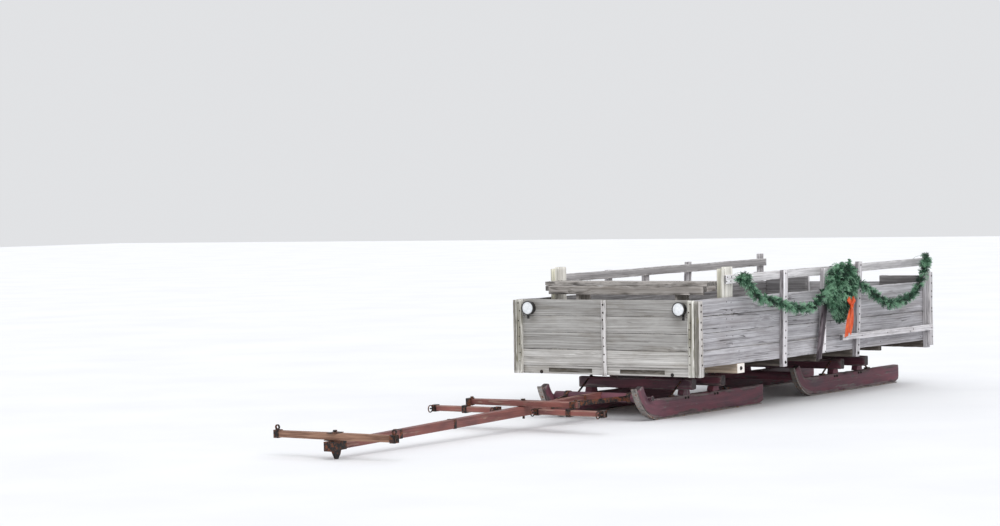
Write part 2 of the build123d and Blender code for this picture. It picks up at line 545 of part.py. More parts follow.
# the bunch: a flattened mass of branches, widest at mid height and narrow at
# its foot.  Sections: height, distance back, half length, half depth
BUNCH_Y = G_Y + 18.0
BUNCH = [(290, 2555, 42, 36, 0), (360, 2534, 145, 66, 6), (450, 2512, 208, 69, 16), (560, 2568, 280, 91, 0), (700, 2618, 294, 92, 0), (800, 2618, 258, 86, 0), (880, 2695, 70, 44, 0)]
bunch = loft([Plane(origin=(FRONT_X - b, BUNCH_Y + dy, BOX_Z + z), x_dir=(1, 0, 0), z_dir=(0, 0, 1)) * Ellipse(ha, hb) for z, b, ha, hb, dy in BUNCH])
bunch = bunch & bb(BUNCH_B0, BUNCH_B1, 0, 2000, 0, 2000)
node("garland_bunch", bunch)
RIB_BACK = 2590.0
RIB_Y = BUNCH_Y + 97.0
rib = bb(RIB_BACK - 45, RIB_BACK + 45, RIB_Y, RIB_Y + 5, BOX_Z + 168, BOX_Z + 540)
node("ribbon", rib)

# ---------------------------------------------------------------- write
CORD_NODES = ("garland_front", "garland_rear", "garland_bunch", "ribbon")
lo = [1e9] * 3
hi = [-1e9] * 3
for name, parts in NODES.items():
    shape = parts[0] if len(parts) == 1 else Compound(children=parts)
    export_step(shape, "parts/%s.step" % name)
    if name not in CORD_NODES:
        b = shape.bounding_box()
        lo = [min(lo[0], b.min.X), min(lo[1], b.min.Y), min(lo[2], b.min.Z)]
        hi = [max(hi[0], b.max.X), max(hi[1], b.max.Y), max(hi[2], b.max.Z)]
print("nodes", len(NODES), "pitch %.3f" % PITCH, "roller_x %.1f" % roller_x)
print("box", [round(v, 1) for v in lo], [round(v, 1) for v in hi], "centre x %.2f y %.2f" % ((lo[0] + hi[0]) / 2, (lo[1] + hi[1]) / 2))


def at(x, y, z):
    p = (PL * Pos(x, y, z)).position
    return [round(p.X, 3), round(p.Y, 3), round(p.Z, 3)]


print("roller", at(0, 0, 0), "evener", at(EVENER_X, 0, EV_Z0 + EV_T / 2), "yoke", at(YOKE_X, 0, yk_z0 + 30))
print("singletree pins", at(EVENER_X, SINGLE_Y, EV_Z0 + EV_T / 2), "eyes", [at(ST_X + 56, SINGLE_Y + e * (ST_HALF - 14), st_z1 - ST_T / 2) for e in (1, -1)])
print("yoke eyes", [at(YOKE_X, e * (YK_HALF - 16) + e * 4, yk_z0 + 6 + YK_T / 2 + 52) for e in (1, -1)])
print("kingpin x", FRONT_X - BOB_BACK, "hinge", HINGE_X, HINGE_Y)
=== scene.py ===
import math
import bpy
import bmesh
import numpy as np
from mathutils import Matrix, Vector


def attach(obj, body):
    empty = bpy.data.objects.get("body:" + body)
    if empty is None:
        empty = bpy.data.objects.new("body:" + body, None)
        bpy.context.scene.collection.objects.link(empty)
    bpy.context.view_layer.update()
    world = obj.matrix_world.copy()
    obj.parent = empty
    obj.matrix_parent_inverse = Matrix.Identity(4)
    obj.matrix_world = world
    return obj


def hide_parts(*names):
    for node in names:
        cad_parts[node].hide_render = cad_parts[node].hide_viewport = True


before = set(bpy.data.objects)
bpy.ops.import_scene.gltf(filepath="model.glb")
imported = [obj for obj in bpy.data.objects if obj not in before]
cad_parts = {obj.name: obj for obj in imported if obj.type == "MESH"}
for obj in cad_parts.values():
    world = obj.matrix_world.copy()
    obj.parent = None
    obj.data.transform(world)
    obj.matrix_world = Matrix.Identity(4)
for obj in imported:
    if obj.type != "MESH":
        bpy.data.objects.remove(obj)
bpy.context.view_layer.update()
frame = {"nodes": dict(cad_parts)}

# Main places, in metres, as in the CAD model
FX = 0.45516             # front wall's outer face
BZ = 0.470               # lower edge of the wall planks
HW = 0.950               # half width over the wall planks
WT = 0.025
PH, PG = 0.150, 0.0034   # plank height and gap
BOX_L = 4.800
SY = 0.995               # outer face of the stakes
DECK = 0.495
GY = 1.071               # plane of the garland
TOP = BZ + 4 * PH + 3 * PG


def xb(back):
    """X of a distance behind the front wall."""
    return FX - back


# ------------------------------------------------------------------ camera
def make_camera():
    yaw, pitch, roll = -2.5408140813, 0.0238017503, -0.0180523591
    place = Vector((19.6457 + FX, 12.3251, 1.5122 + BZ))
    d = Vector((math.cos(yaw) * math.cos(pitch), math.sin(yaw) * math.cos(pitch), -math.sin(pitch)))
    r = d.cross(Vector((0, 0, 1))).normalized()
    u = r.cross(d)
    r2 = r * math.cos(roll) + u * math.sin(roll)
    u2 = u * math.cos(roll) - r * math.sin(roll)
    data = bpy.data.cameras.new("camera")
    data.sensor_fit = "HORIZONTAL"
    data.sensor_width = 36.0
    data.lens = 2553.41 * 36.0 / 1000.0
    data.clip_start, data.clip_end = 0.1, 300.0
    cam = bpy.data.objects.new("camera", data)
    cam.matrix_world = Matrix(((r2.x, u2.x, -d.x, place.x), (r2.y, u2.y, -d.y, place.y), (r2.z, u2.z, -d.z, place.z), (0, 0, 0, 1)))
    bpy.context.scene.collection.objects.link(cam)
    bpy.context.scene.camera = cam


make_camera()


# ------------------------------------------------------------------ noise
def _hash(i, j, k, seed):
    h = (i * 374761393 + j * 668265263 + k * 2147483647 + seed * 974634777) & 0xFFFFFFFF
    h = ((h ^ (h >> 13)) * 1274126177) & 0xFFFFFFFF
    h = ((h ^ (h >> 16)) * 2246822519) & 0xFFFFFFFF
    return ((h ^ (h >> 15)) & 0xFFFFFF) / float(0xFFFFFF) * 2 - 1


def vnoise(x, y=0.0, z=0.0, seed=0):
    """Smooth noise from -1 to 1 at arrays of points."""
    x, y, z = np.broadcast_arrays(np.asarray(x, float), np.asarray(y, float), np.asarray(z, float))
    i, j, k = (np.floor(v).astype(np.int64) for v in (x, y, z))
    fx, fy, fz = x - i, y - j, z - k
    ux, uy, uz = (f * f * (3 - 2 * f) for f in (fx, fy, fz))
    out = 0.0
    for di in (0, 1):
        for dj in (0, 1):
            for dk in (0, 1):
                w = (ux if di else 1 - ux) * (uy if dj else 1 - uy) * (uz if dk else 1 - uz)
                out = out + w * _hash(i + di, j + dj, k + dk, seed)
    return out


# ------------------------------------------------------------------ meshes
class Build:
    """Collects vertices, faces and their grain attributes into one object."""

    def __init__(self):
        self.v, self.f, self.m = [], [], []
        self.gc, self.edge, self.endg, self.tone, self.dirt = [], [], [], [], []
        self.n = 0

    def add(self, verts, faces, gc=None, edge=0.0, endg=0.0, tone=0.5, mat=0, dirt=0.0):
        verts = np.asarray(verts, float).reshape(-1, 3)
        n = len(verts)
        self.v.append(verts)
        self.f += [tuple(int(i) + self.n for i in f) for f in faces]
        self.m += [mat] * len(faces) if isinstance(mat, int) else list(mat)
        self.gc.append(verts.copy() if gc is None else np.asarray(gc, float).reshape(-1, 3))
        self.edge.append(np.broadcast_to(np.asarray(edge, float), (n,)))
        self.endg.append(np.broadcast_to(np.asarray(endg, float), (n,)))
        self.tone.append(np.broadcast_to(np.asarray(tone, float), (n,)))
        self.dirt.append(np.broadcast_to(np.asarray(dirt, float), (n,)))
        self.n += n

    def soil_and_shade(self, fn):
        """Adds darkening for dirt and painted shade to every vertex so far, from its place."""
        self.dirt = [np.clip(d + fn(v), 0, 1) for v, d in zip(self.v, self.dirt)]

    def make(self, name, mats, body, replaces=(), smooth=True):
        me = bpy.data.meshes.new(name)
        me.from_pydata(np.concatenate(self.v).tolist(), [], self.f)
        for m in mats:
            me.materials.append(m)
        me.polygons.foreach_set("material_index", np.array(self.m, dtype=np.int32))
        me.polygons.foreach_set("use_smooth", np.full(len(self.f), smooth))
        a = me.attributes.new("gc", "FLOAT_VECTOR", "POINT")
        a.data.foreach_set("vector", np.concatenate(self.gc).astype(np.float32).ravel())
        for key, values in (("edge", self.edge), ("endg", self.endg), ("tone", self.tone), ("dirt", self.dirt)):
            a = me.attributes.new(key, "FLOAT", "POINT")
            a.data.foreach_set("value", np.concatenate(values).astype(np.float32))
        me.update()
        ob = bpy.data.objects.new(name, me)
        bpy.context.scene.collection.objects.link(ob)
        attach(ob, body)
        if replaces:
            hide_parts(*replaces)
        return ob


SEED = [100]


def board(b, ctrl, r=0.003, step=0.03, grid=0.028, warp=0.0008, chip=0.004, rough=0.0004, tone=None, seed=None, ends=True, mat=0, dirt=(0.0, 0.0, 0.0, 0.0)):
    """A sawn timber along control stations (centre, half vector a, half vector b).
    The darkening for dirt and painted shade is given for its faces -b, +a, +b and -a."""
    if seed is None:
        SEED[0] += 1
        seed = SEED[0]
    rng = np.random.default_rng(seed)
    C = np.array([c[0] for c in ctrl], float)
    A = np.array([c[1] for c in ctrl], float)
    B = np.array([c[2] for c in ctrl], float)
    seg = np.linalg.norm(np.diff(C, axis=0), axis=1)
    s = np.r_[0, np.cumsum(seg)]
    L = s[-1]
    la, lb = np.linalg.norm(A, axis=1).mean(), np.linalg.norm(B, axis=1).mean()
    r = min(r, 0.45 * la, 0.45 * lb)
    n = max(3, int(round((L - 2 * r) / step)) + 1)
    t = np.r_[0.0, np.linspace(r, L - r, n), L]
    Ci, Ai, Bi = (np.stack([np.interp(t, s, M[:, k]) for k in range(3)], 1) for M in (C, A, B))
    na, nb = max(1, int(round(2 * (la - r) / grid))), max(1, int(round(2 * (lb - r) / grid)))
    ring = []                        # ka, kb, oa, ob, normal a, normal b, edge
    q = math.sqrt(0.5)
    for i in range(na + 1):
        ring.append((-1 + 2 * i / na, -1, 0, -1, 0, -1, float(i in (0, na))))
    ring.append((1, -1, q, -q, q, -q, 1.0))
    for i in range(nb + 1):
        ring.append((1, -1 + 2 * i / nb, 1, 0, 1, 0, float(i in (0, nb))))
    ring.append((1, 1, q, q, q, q, 1.0))
    for i in range(na + 1):
        ring.append((1 - 2 * i / na, 1, 0, 1, 0, 1, float(i in (0, na))))
    ring.append((-1, 1, -q, q, -q, q, 1.0))
    for i in range(nb + 1):
        ring.append((-1, 1 - 2 * i / nb, -1, 0, -1, 0, float(i in (0, nb))))
    ring.append((-1, -1, -q, -q, -q, -q, 1.0))
    R = np.array(ring)
    m = len(R)
    al, bl = np.linalg.norm(Ai, axis=1), np.linalg.norm(Bi, axis=1)
    ah, bh = Ai / al[:, None], Bi / bl[:, None]
    T = np.gradient(Ci, axis=0)
    T /= np.linalg.norm(T, axis=1)[:, None]
    inset = np.zeros(len(t))
    inset[0] = inset[-1] = r
    pa = R[None, :, 0] * (al - r)[:, None] + R[None, :, 2] * r - np.sign(R[None, :, 0]) * np.minimum(inset[:, None], np.abs(R[None, :, 0] * (al - r)[:, None]) * 0.9)
    pb = R[None, :, 1] * (bl - r)[:, None] + R[None, :, 3] * r - np.sign(R[None, :, 1]) * np.minimum(inset[:, None], np.abs(R[None, :, 1] * (bl - r)[:, None]) * 0.9)
    off = rng.uniform(0, 60, 3)
    tt = t[:, None] + 0 * pa
    side = np.arange(m)[None, :] + 0 * pa
    # worn corners and a slightly uneven face
    wear = np.maximum(0, vnoise(tt * 11 + off[0], side * 0.37 + off[1], seed=seed) - 0.12) * chip
    wear += np.maximum(0, vnoise(tt * 3.1 + off[1], side * 0.29 + off[2], seed=seed + 1) - 0.45) * chip * 1.6
    disp = rough * vnoise(tt * 23 + off[2], side * 1.7 + off[0], seed=seed + 2) - wear * R[None, :, 6]
    disp[0] *= 0.3
    disp[-1] *= 0.3
    wa = warp * vnoise(t * 1.3 + off[0], 3.3, seed=seed + 3) + warp * 0.5 * vnoise(t * 4.1 + off[1], 1.3, seed=seed + 4)
    wb = warp * vnoise(t * 1.1 + off[1], 7.7, seed=seed + 5)
    pa2 = pa + disp * R[None, :, 4] + wa[:, None]
    pb2 = pb + disp * R[None, :, 5] + wb[:, None]
    P = Ci[:, None, :] + pa2[..., None] * ah[:, None, :] + pb2[..., None] * bh[:, None, :]
    gc = np.stack([tt + off[0], pa + off[1], pb + off[2]], -1)
    tone = rng.uniform(0, 1) if tone is None else tone
    if not isinstance(tone, float):
        tone = np.repeat(np.interp(t, np.linspace(0, L, len(tone)), tone), m)
    na_, nb_ = R[:, 4], R[:, 5]
    # darkening per face for dirt and painted shade
    soil_and_shade = dirt[0] * np.maximum(0, -nb_) + dirt[1] * np.maximum(0, na_) + dirt[2] * np.maximum(0, nb_) + dirt[3] * np.maximum(0, -na_)
    soil_and_shade = np.tile(soil_and_shade, len(t))
    edge = np.broadcast_to(R[None, :, 6], pa.shape).copy()
    near = np.minimum(t, L - t)[:, None]
    edge = np.maximum(edge, (near < r * 1.5) * 1.0)
    flip = float(np.dot(np.cross(ah[1], bh[1]), T[1])) < 0
    k = len(t)
    faces = []
    for i in range(k - 1):
        for j in range(m):
            j2 = (j + 1) % m
            f = (i * m + j, i * m + j2, (i + 1) * m + j2, (i + 1) * m + j)
            faces.append(f[::-1] if flip else f)
    b.add(P, faces, gc, edge.ravel(), 0.0, tone, mat, soil_and_shade)
    if ends:
        for i, rev in ((0, True), (k - 1, False)):
            rr = list(range(m))
            if rev != flip:
                rr = rr[::-1]
            b.add(P[i], [rr], gc[i], 0.15, 1.0, tone if isinstance(tone, float) else tone[i * m], mat, min(dirt))


def slab(b, lo, hi, axis=None, **kw):
    """A straight board that fills a box; its length runs along its longest side."""
    lo, hi = np.minimum(lo, hi).astype(float), np.maximum(lo, hi).astype(float)
    size = hi - lo
    axis = int(np.argmax(size)) if axis is None else axis
    rest = [k for k in range(3) if k != axis]
    rest.sort(key=lambda k: -size[k])
    c0, c1 = (lo + hi) / 2, (lo + hi) / 2
    c0 = c0.copy()
    c1 = c1.copy()
    c0[axis], c1[axis] = lo[axis], hi[axis]
    a, bb_ = np.zeros(3), np.zeros(3)
    a[rest[0]], bb_[rest[1]] = size[rest[0]] / 2, size[rest[1]] / 2
    board(b, [(c0, a, bb_), (c1, a, bb_)], **kw)


def bslab(b, b0, b1, y0, y1, z0, z1, **kw):
    """slab() between two distances behind the front wall."""
    slab(b, (xb(b1), y0, z0), (xb(b0), y1, z1), **kw)


def carve(node, name, mats, body, axis, bevel=0.003, seed=0, segments=2, tone=None, dirt=None):
    """The CAD piece's own shape with its edges eased, and grain along an axis."""
    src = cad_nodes[node]
    bm = bmesh.new()
    bm.from_mesh(src.data)
    bmesh.ops.remove_doubles(bm, verts=bm.verts, dist=1e-6)
    bmesh.ops.dissolve_limit(bm, angle_limit=math.radians(1.0), verts=bm.verts, edges=bm.edges)
    sharp = [e for e in bm.edges if len(e.link_faces) == 2 and e.calc_face_angle(0) > math.radians(28)]
    old = set(bm.faces)
    made = bmesh.ops.bevel(bm, geom=sharp, offset=bevel, offset_type="OFFSET", segments=segments, profile=0.5, affect="EDGES", clamp_overlap=True)
    worn = set(made["faces"])
    me = bpy.data.meshes.new(name)
    bm.faces.ensure_lookup_table()
    flags = [1.0 if f in worn else 0.0 for f in bm.faces]
    for f in bm.faces:
        f.smooth = f in worn or len(f.verts) > 4
    bm.to_mesh(me)
    bm.free()
    for m in mats:
        me.materials.append(m)
    rng = np.random.default_rng(seed + 5000)
    co = np.empty(len(me.vertices) * 3)
    me.vertices.foreach_get("co", co)
    co = co.reshape(-1, 3)
    parts = islands(me)
    gc = np.empty_like(co)
    tn = np.empty(len(co))
    order = {"x": (0, 1, 2), "y": (1, 0, 2), "z": (2, 0, 1)}[axis]
    for ids in parts:
        gc[ids] = co[ids][:, order] + rng.uniform(0, 60, 3)
        tn[ids] = rng.uniform(0, 1) if tone is None else tone
    a = me.attributes.new("gc", "FLOAT_VECTOR", "POINT")
    a.data.foreach_set("vector", gc.astype(np.float32).ravel())
    a = me.attributes.new("tone", "FLOAT", "POINT")
    a.data.foreach_set("value", tn.astype(np.float32))
    # darkening for dirt and painted shade, from a function of place
    a = me.attributes.new("dirt", "FLOAT", "POINT")
    a.data.foreach_set("value", (np.zeros(len(co)) if dirt is None else dirt(co)).astype(np.float32))
    normal = np.empty(len(me.polygons) * 3)
    me.polygons.foreach_get("normal", normal)
    normal = normal.reshape(-1, 3)
    ax = order[0]
    edge = me.attributes.new("edge", "FLOAT", "CORNER")
    endg = me.attributes.new("endg", "FLOAT", "CORNER")
    ev, gv = [], []
    for p, flag in zip(me.polygons, flags):
        e = 1.0 if (abs(normal[p.index][ax]) > 0.9 and not flag) else 0.0
        ev += [flag] * p.loop_total
        gv += [e] * p.loop_total
    edge.data.foreach_set("value", np.array(ev, np.float32))
    endg.data.foreach_set("value", np.array(gv, np.float32))
    me.update()
    ob = bpy.data.objects.new(name, me)
    bpy.context.scene.collection.objects.link(ob)
    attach(ob, body)
    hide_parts(node)
    return ob


def islands(me):
    """Vertex indices of each connected part."""
    parent = list(range(len(me.vertices)))

    def root(i):
        while parent[i] != i:
            parent[i] = parent[parent[i]]
            i = parent[i]
        return i
    for e in me.edges:
        p, q = root(e.vertices[0]), root(e.vertices[1])
        if p != q:
            parent[p] = q
    groups = {}
    for i in range(len(parent)):
        groups.setdefault(root(i), []).append(i)
    return [np.array(g) for g in groups.values()]


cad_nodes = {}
for _name in frame["nodes"]:
    _ob = frame["nodes"][_name] if isinstance(frame["nodes"], dict) else bpy.data.objects[_name]
    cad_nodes[_name] = _ob if isinstance(_ob, bpy.types.Object) else bpy.data.objects[_name]


# ------------------------------------------------------------------ materials
def lin(r, g, b):
    return tuple(((c / 255) / 12.92 if c / 255 <= 0.04045 else ((c / 255 + 0.055) / 1.055) ** 2.4) for c in (r, g, b)) + (1.0,)


class Tree:
    def __init__(self, name):
        self.mat = bpy.data.materials.new(name)
        self.mat.use_nodes = True
        self.t = self.mat.node_tree
        self.bsdf = self.t.nodes["Principled BSDF"]

    def node(self, kind, ins=(), out=0, **props):
        n = self.t.nodes.new("ShaderNode" + kind)
        for k, v in props.items():
            setattr(n, k, v)
        for key, value in (ins.items() if isinstance(ins, dict) else enumerate(ins)):
            self.put(n.inputs[key], value)
        return n.outputs[out]

    def put(self, socket, value):
        if value is None:
            return
        if isinstance(value, bpy.types.NodeSocket):
            self.t.links.new(value, socket)
        elif isinstance(value, tuple) and len(value) == 4 and socket.type == "VECTOR":
            socket.default_value = value[:3]
        else:
            socket.default_value = value

    def attr(self, name, out="Fac"):
        n = self.t.nodes.new("ShaderNodeAttribute")
        n.attribute_name = name
        return n.outputs[out]

    def obj(self):
        return self.node("TexCoord", out="Object")

    def scale(self, vec, sx, sy, sz, ox=0.0, oy=0.0, oz=0.0):
        return self.node("Mapping", {"Vector": vec, "Scale": (sx, sy, sz), "Location": (ox, oy, oz)}, out="Vector")

    def noise(self, vec, scale=1.0, detail=4.0, rough=0.55, dist=0.0, lac=2.0):
        return self.node("TexNoise", {"Vector": vec, "Scale": scale, "Detail": detail, "Roughness": rough, "Distortion": dist, "Lacunarity": lac}, out="Fac")

    def m(self, op, a, b=None, c=None, clamp=False):
        return self.node("Math", [a, b, c], operation=op, use_clamp=clamp)

    def step(self, v, lo, hi, a=0.0, b=1.0):
        return self.node("MapRange", {"Value": v, "From Min": lo, "From Max": hi, "To Min": a, "To Max": b}, clamp=True, interpolation_type="SMOOTHSTEP")

    def mix(self, fac, a, b, kind="MIX"):
        n = self.t.nodes.new("ShaderNodeMix")
        n.data_type, n.blend_type, n.clamp_factor = "RGBA", kind, True
        self.put(n.inputs[0], fac)
        self.put(n.inputs[6], a)
        self.put(n.inputs[7], b)
        return n.outputs[2]

    def ramp(self, fac, stops):
        n = self.t.nodes.new("ShaderNodeValToRGB")
        el = n.color_ramp.elements
        while len(el) < len(stops):
            el.new(0.5)
        for e, (pos, col) in zip(el, stops):
            e.position, e.color = pos, col
        self.put(n.inputs[0], fac)
        return n.outputs[0]

    def bump(self, height, dist=0.001, strength=0.6, normal=None):
        return self.node("Bump", {"Height": height, "Distance": dist, "Strength": strength, "Normal": normal}, out="Normal")

    def finish(self, color, rough, normal=None, metallic=None, **fixed):
        self.put(self.bsdf.inputs["Base Color"], color)
        self.put(self.bsdf.inputs["Roughness"], rough)
        if normal is not None:
            self.put(self.bsdf.inputs["Normal"], normal)
        if metallic is not None:
            self.put(self.bsdf.inputs["Metallic"], metallic)
        for k, v in fixed.items():
            self.bsdf.inputs[k.replace("_", " ")].default_value = v
        return self.mat


def wood(name, dark, mid, light, stain, crack=(38, 33, 30), dirt=(84, 80, 78), stain_amount=0.35, tonevar=0.22, edge_light=None, edge_amount=0.5, end=None, end_dark=0.55, spread=0.085, moss=None, moss_amount=0.0, paint=None, paint_dark=None, paint_amount=0.0, knots=0.5, cracks=0.8, bump=0.7, pale=0.0, streak=1.0):
    """Weathered sawn timber. Grain runs along each board's own length."""
    t = Tree(name)
    g = t.attr("gc", "Vector")
    tone, edge, endg, soil_and_shade = t.attr("tone"), t.attr("edge"), t.attr("endg"), t.attr("dirt")
    # knots first, because the grain bends round them
    vor = t.t.nodes.new("ShaderNodeTexVoronoi")
    vor.feature = "F1"
    t.put(vor.inputs["Vector"], t.scale(g, 1.7, 6.2, 6.2, 3.1, 7.7, 2.3))
    vor.inputs["Scale"].default_value = 1.0
    pick = t.m("GREATER_THAN", t.node("SeparateColor", [vor.outputs["Color"]], out=0), 1.0 - knots * 0.5)
    near = t.m("MULTIPLY", t.step(vor.outputs["Distance"], 0.34, 0.05), pick)
    knot = t.m("MULTIPLY", t.step(vor.outputs["Distance"], 0.12, 0.08), pick)
    wander = t.noise(t.scale(g, 0.7, 2.0, 2.0, 27), 1.0, 2.0)
    bend = t.node("CombineXYZ", [0.0, t.m("ADD", t.m("MULTIPLY", near, 0.022), t.m("MULTIPLY", wander, 0.035)), t.m("MULTIPLY", near, 0.015)])
    g2 = t.node("VectorMath", [g, bend], operation="ADD")
    n1 = t.noise(t.scale(g2, 0.45, 52 * streak, 52 * streak), 1.0, 5.0, 0.62, 0.1)
    n2 = t.noise(t.scale(g2, 1.3, 130 * streak, 130 * streak, 5), 1.0, 4.0, 0.62, 0.1)
    n3 = t.noise(t.scale(g2, 6.0, 280, 280, 11), 1.0, 3.0, 0.60)
    b1 = t.noise(t.scale(g, 1.9, 7.0, 7.0, 9), 1.0, 5.0, 0.62, 0.5)
    b2 = t.noise(t.scale(g, 5.0, 24, 24, 17), 1.0, 5.0, 0.66, 0.3)
    f = t.m("ADD", t.m("MULTIPLY", n1, 0.42), t.m("MULTIPLY", n2, 0.34))
    f = t.m("ADD", f, t.m("MULTIPLY", n3, 0.12))
    f = t.m("ADD", f, t.m("MULTIPLY", b2, 0.12))
    color = t.ramp(f, [(0.5 - spread, lin(*dark)), (0.5, lin(*mid)), (0.5 + spread, lin(*light))])
    color = t.mix(t.m("MULTIPLY", t.step(b1, 0.50, 0.66), stain_amount), color, lin(*stain))
    color = t.mix(t.m("MULTIPLY", t.step(b1, 0.47, 0.34), 0.22 + pale), color, lin(*light))
    # checks that open along the grain
    cn = t.noise(t.scale(g2, 0.55, 26, 26, 21), 1.0, 1.5, 0.5)
    gate = t.step(t.noise(t.scale(g, 1.6, 9, 9, 31), 1.0, 3.0), 0.575 - 0.04 * cracks, 0.63 - 0.04 * cracks)
    line = t.step(t.m("ABSOLUTE", t.m("SUBTRACT", cn, 0.5)), 0.020, 0.007)
    check = t.m("MULTIPLY", line, gate)
    color = t.mix(t.m("MULTIPLY", check, 0.75 * min(1.0, cracks)), color, lin(*crack))
    color = t.mix(t.m("MULTIPLY", near, 0.20), color, lin(*dark))
    color = t.mix(t.m("MULTIPLY", knot, 0.65), color, lin(*[int(c * 0.72) for c in dark]))
    # board to board
    k = t.m("ADD", t.m("MULTIPLY", tone, tonevar), 1.0 - tonevar / 2)
    color = t.mix(1.0, color, t.node("CombineColor", [k, k, k], out=0), "MULTIPLY")
    # dirt and painted shade: the faces picked for each board are darkened; in this scene mostly painted shade on sides,
    # undersides, inner faces and recesses
    dirt_shade_col = t.ramp(f, [(0.5 - spread, lin(*[int(c * 0.68) for c in dirt])), (0.5, lin(*dirt)), (0.5 + spread, lin(*[min(255, int(c * 1.28)) for c in dirt]))])
    dirt_shade_mask = t.m("MULTIPLY", soil_and_shade, t.m("ADD", 0.72, t.m("MULTIPLY", t.step(b2, 0.35, 0.62), 0.28)))
    color = t.mix(dirt_shade_mask, color, dirt_shade_col)
    if edge_light:
        worn = t.m("MULTIPLY", edge, t.step(t.noise(t.scale(g, 9, 60, 60, 3), 1.0, 3.0), 0.40, 0.60))
        color = t.mix(t.m("MULTIPLY", worn, edge_amount), color, lin(*edge_light))
    saw = t.node("TexWave", {"Vector": t.scale(g, 1.0, 0.12, 0.12), "Scale": 26.0, "Distortion": 2.2, "Detail": 2.0, "Detail Scale": 1.5}, out="Fac", wave_type="BANDS", bands_direction="X")
    height = t.m("ADD", t.m("MULTIPLY", n1, 0.5), t.m("MULTIPLY", n2, 0.45))
    height = t.m("ADD", height, t.m("MULTIPLY", n3, 0.25))
    height = t.m("ADD", height, t.m("MULTIPLY", saw, 0.08))
    height = t.m("SUBTRACT", height, t.m("MULTIPLY", check, 1.4))
    roughness = t.step(f, 0.40, 0.60, 0.94, 0.76)
    if paint:
        pn = t.noise(t.scale(g, 3.2, 15, 15, 41), 1.0, 7.0, 0.66, 0.3)
        lose = t.m("ADD", pn, t.m("MULTIPLY", edge, 0.14))
        lose = t.m("ADD", lose, t.m("MULTIPLY", t.m("SUBTRACT", n1, 0.5), 0.4))
        cover = t.m("SUBTRACT", 1.0, t.step(lose, paint_amount, paint_amount + 0.045))
        shade = t.noise(t.scale(g, 2.0, 7, 7, 51), 1.0, 4.0)
        pcol = t.ramp(shade, [(0.36, lin(*paint_dark)), (0.62, lin(*paint))])
        pcol = t.mix(t.m("MULTIPLY", t.step(n2, 0.50, 0.64), 0.30), pcol, lin(*[min(255, c + 26) for c in paint]))
        pcol = t.mix(t.m("MULTIPLY", t.step(b2, 0.55, 0.68), 0.45), pcol, lin(*paint_dark))
        color = t.mix(cover, color, pcol)
        height = t.m("ADD", height, t.m("MULTIPLY", cover, 0.5))
        roughness = t.mix(cover, roughness, t.step(shade, 0.3, 0.7, 0.52, 0.70))
    if moss:
        mn = t.noise(t.scale(g, 4.0, 20, 20, 61), 1.0, 5.0, 0.65, 0.4)
        mk = t.step(mn, 0.62 - moss_amount * 0.2, 0.72 - moss_amount * 0.15)
        color = t.mix(t.m("MULTIPLY", mk, 0.7), color, lin(*moss))
        height = t.m("ADD", height, t.m("MULTIPLY", mk, 0.7))
    e = end or tuple(int(c * 0.72) for c in mid)
    rings = t.noise(t.scale(g, 4, 95, 60, 71), 1.0, 5.0, 0.6, 1.2)
    ecol = t.ramp(rings, [(0.38, lin(*[int(c * end_dark) for c in e])), (0.58, lin(*e))])
    color = t.mix(t.m("MULTIPLY", endg, 0.92), color, ecol)
    return t.finish(color, roughness, t.bump(height, 0.0020, bump))


def iron(name, base=(52, 50, 50), rust=(112, 62, 36), amount=0.5, metallic=0.75, rough=(0.42, 0.72)):
    t = Tree(name)
    o = t.obj()
    n = t.noise(t.scale(o, 1, 1, 1), 26.0, 6.0, 0.66, 0.3)
    n2 = t.noise(t.scale(o, 1, 1, 1, 4), 130.0, 4.0, 0.6)
    mask = t.step(t.m("ADD", t.m("MULTIPLY", n, 0.75), t.m("MULTIPLY", n2, 0.25)), 0.60 - amount * 0.25, 0.66 - amount * 0.15)
    rc = t.ramp(n2, [(0.30, lin(*[int(c * 0.55) for c in rust])), (0.55, lin(*rust)), (0.75, lin(*[min(255, int(c * 1.25)) for c in rust]))])
    bc = t.ramp(n, [(0.35, lin(*[int(c * 0.7) for c in base])), (0.65, lin(*[min(255, int(c * 1.35)) for c in base]))])
    color = t.mix(mask, bc, rc)
    r = t.mix(mask, t.step(n, 0.3, 0.7, rough[0], rough[0] + 0.15), t.step(n2, 0.3, 0.7, rough[1], 0.92))
    met = t.m("MULTIPLY", t.m("SUBTRACT", 1.0, mask), metallic)
    return t.finish(color, r, t.bump(t.m("ADD", n2, t.m("MULTIPLY", mask, 0.6)), 0.0006, 0.6), met)


M = {}
# Each wood's dirt colour darkens the faces picked per board, mostly as painted shade on sides, undersides, inner faces
# and recesses.
M["side"] = wood("grey_side_planks", (128, 125, 128), (166, 164, 168), (196, 195, 199), (136, 130, 130), stain_amount=0.40, tonevar=0.34, edge_light=(196, 194, 193), edge_amount=0.25, crack=(64, 60, 60), dirt=(82, 80, 80), cracks=1.0)
M["front"] = wood("front_planks", (120, 117, 112), (160, 158, 155), (194, 193, 190), (126, 119, 108), stain_amount=0.38, tonevar=0.30, edge_light=(186, 183, 178), edge_amount=0.25, crack=(70, 66, 60), dirt=(86, 80, 70), cracks=0.45, spread=0.105, streak=1.35)
M["light"] = wood("light_stakes", (134, 131, 133), (184, 181, 184), (216, 214, 217), (140, 134, 132), stain_amount=0.35, tonevar=0.16, edge_light=(216, 213, 213), crack=(74, 69, 68), dirt=(112, 106, 110), cracks=0.8)
M["strip"] = wood("batten_strip", (140, 136, 132), (204, 201, 200), (236, 234, 234), (130, 124, 116), stain_amount=0.45, tonevar=0.16, edge_light=(230, 228, 227), crack=(74, 69, 66), dirt=(112, 106, 104), cracks=1.0, spread=0.060)
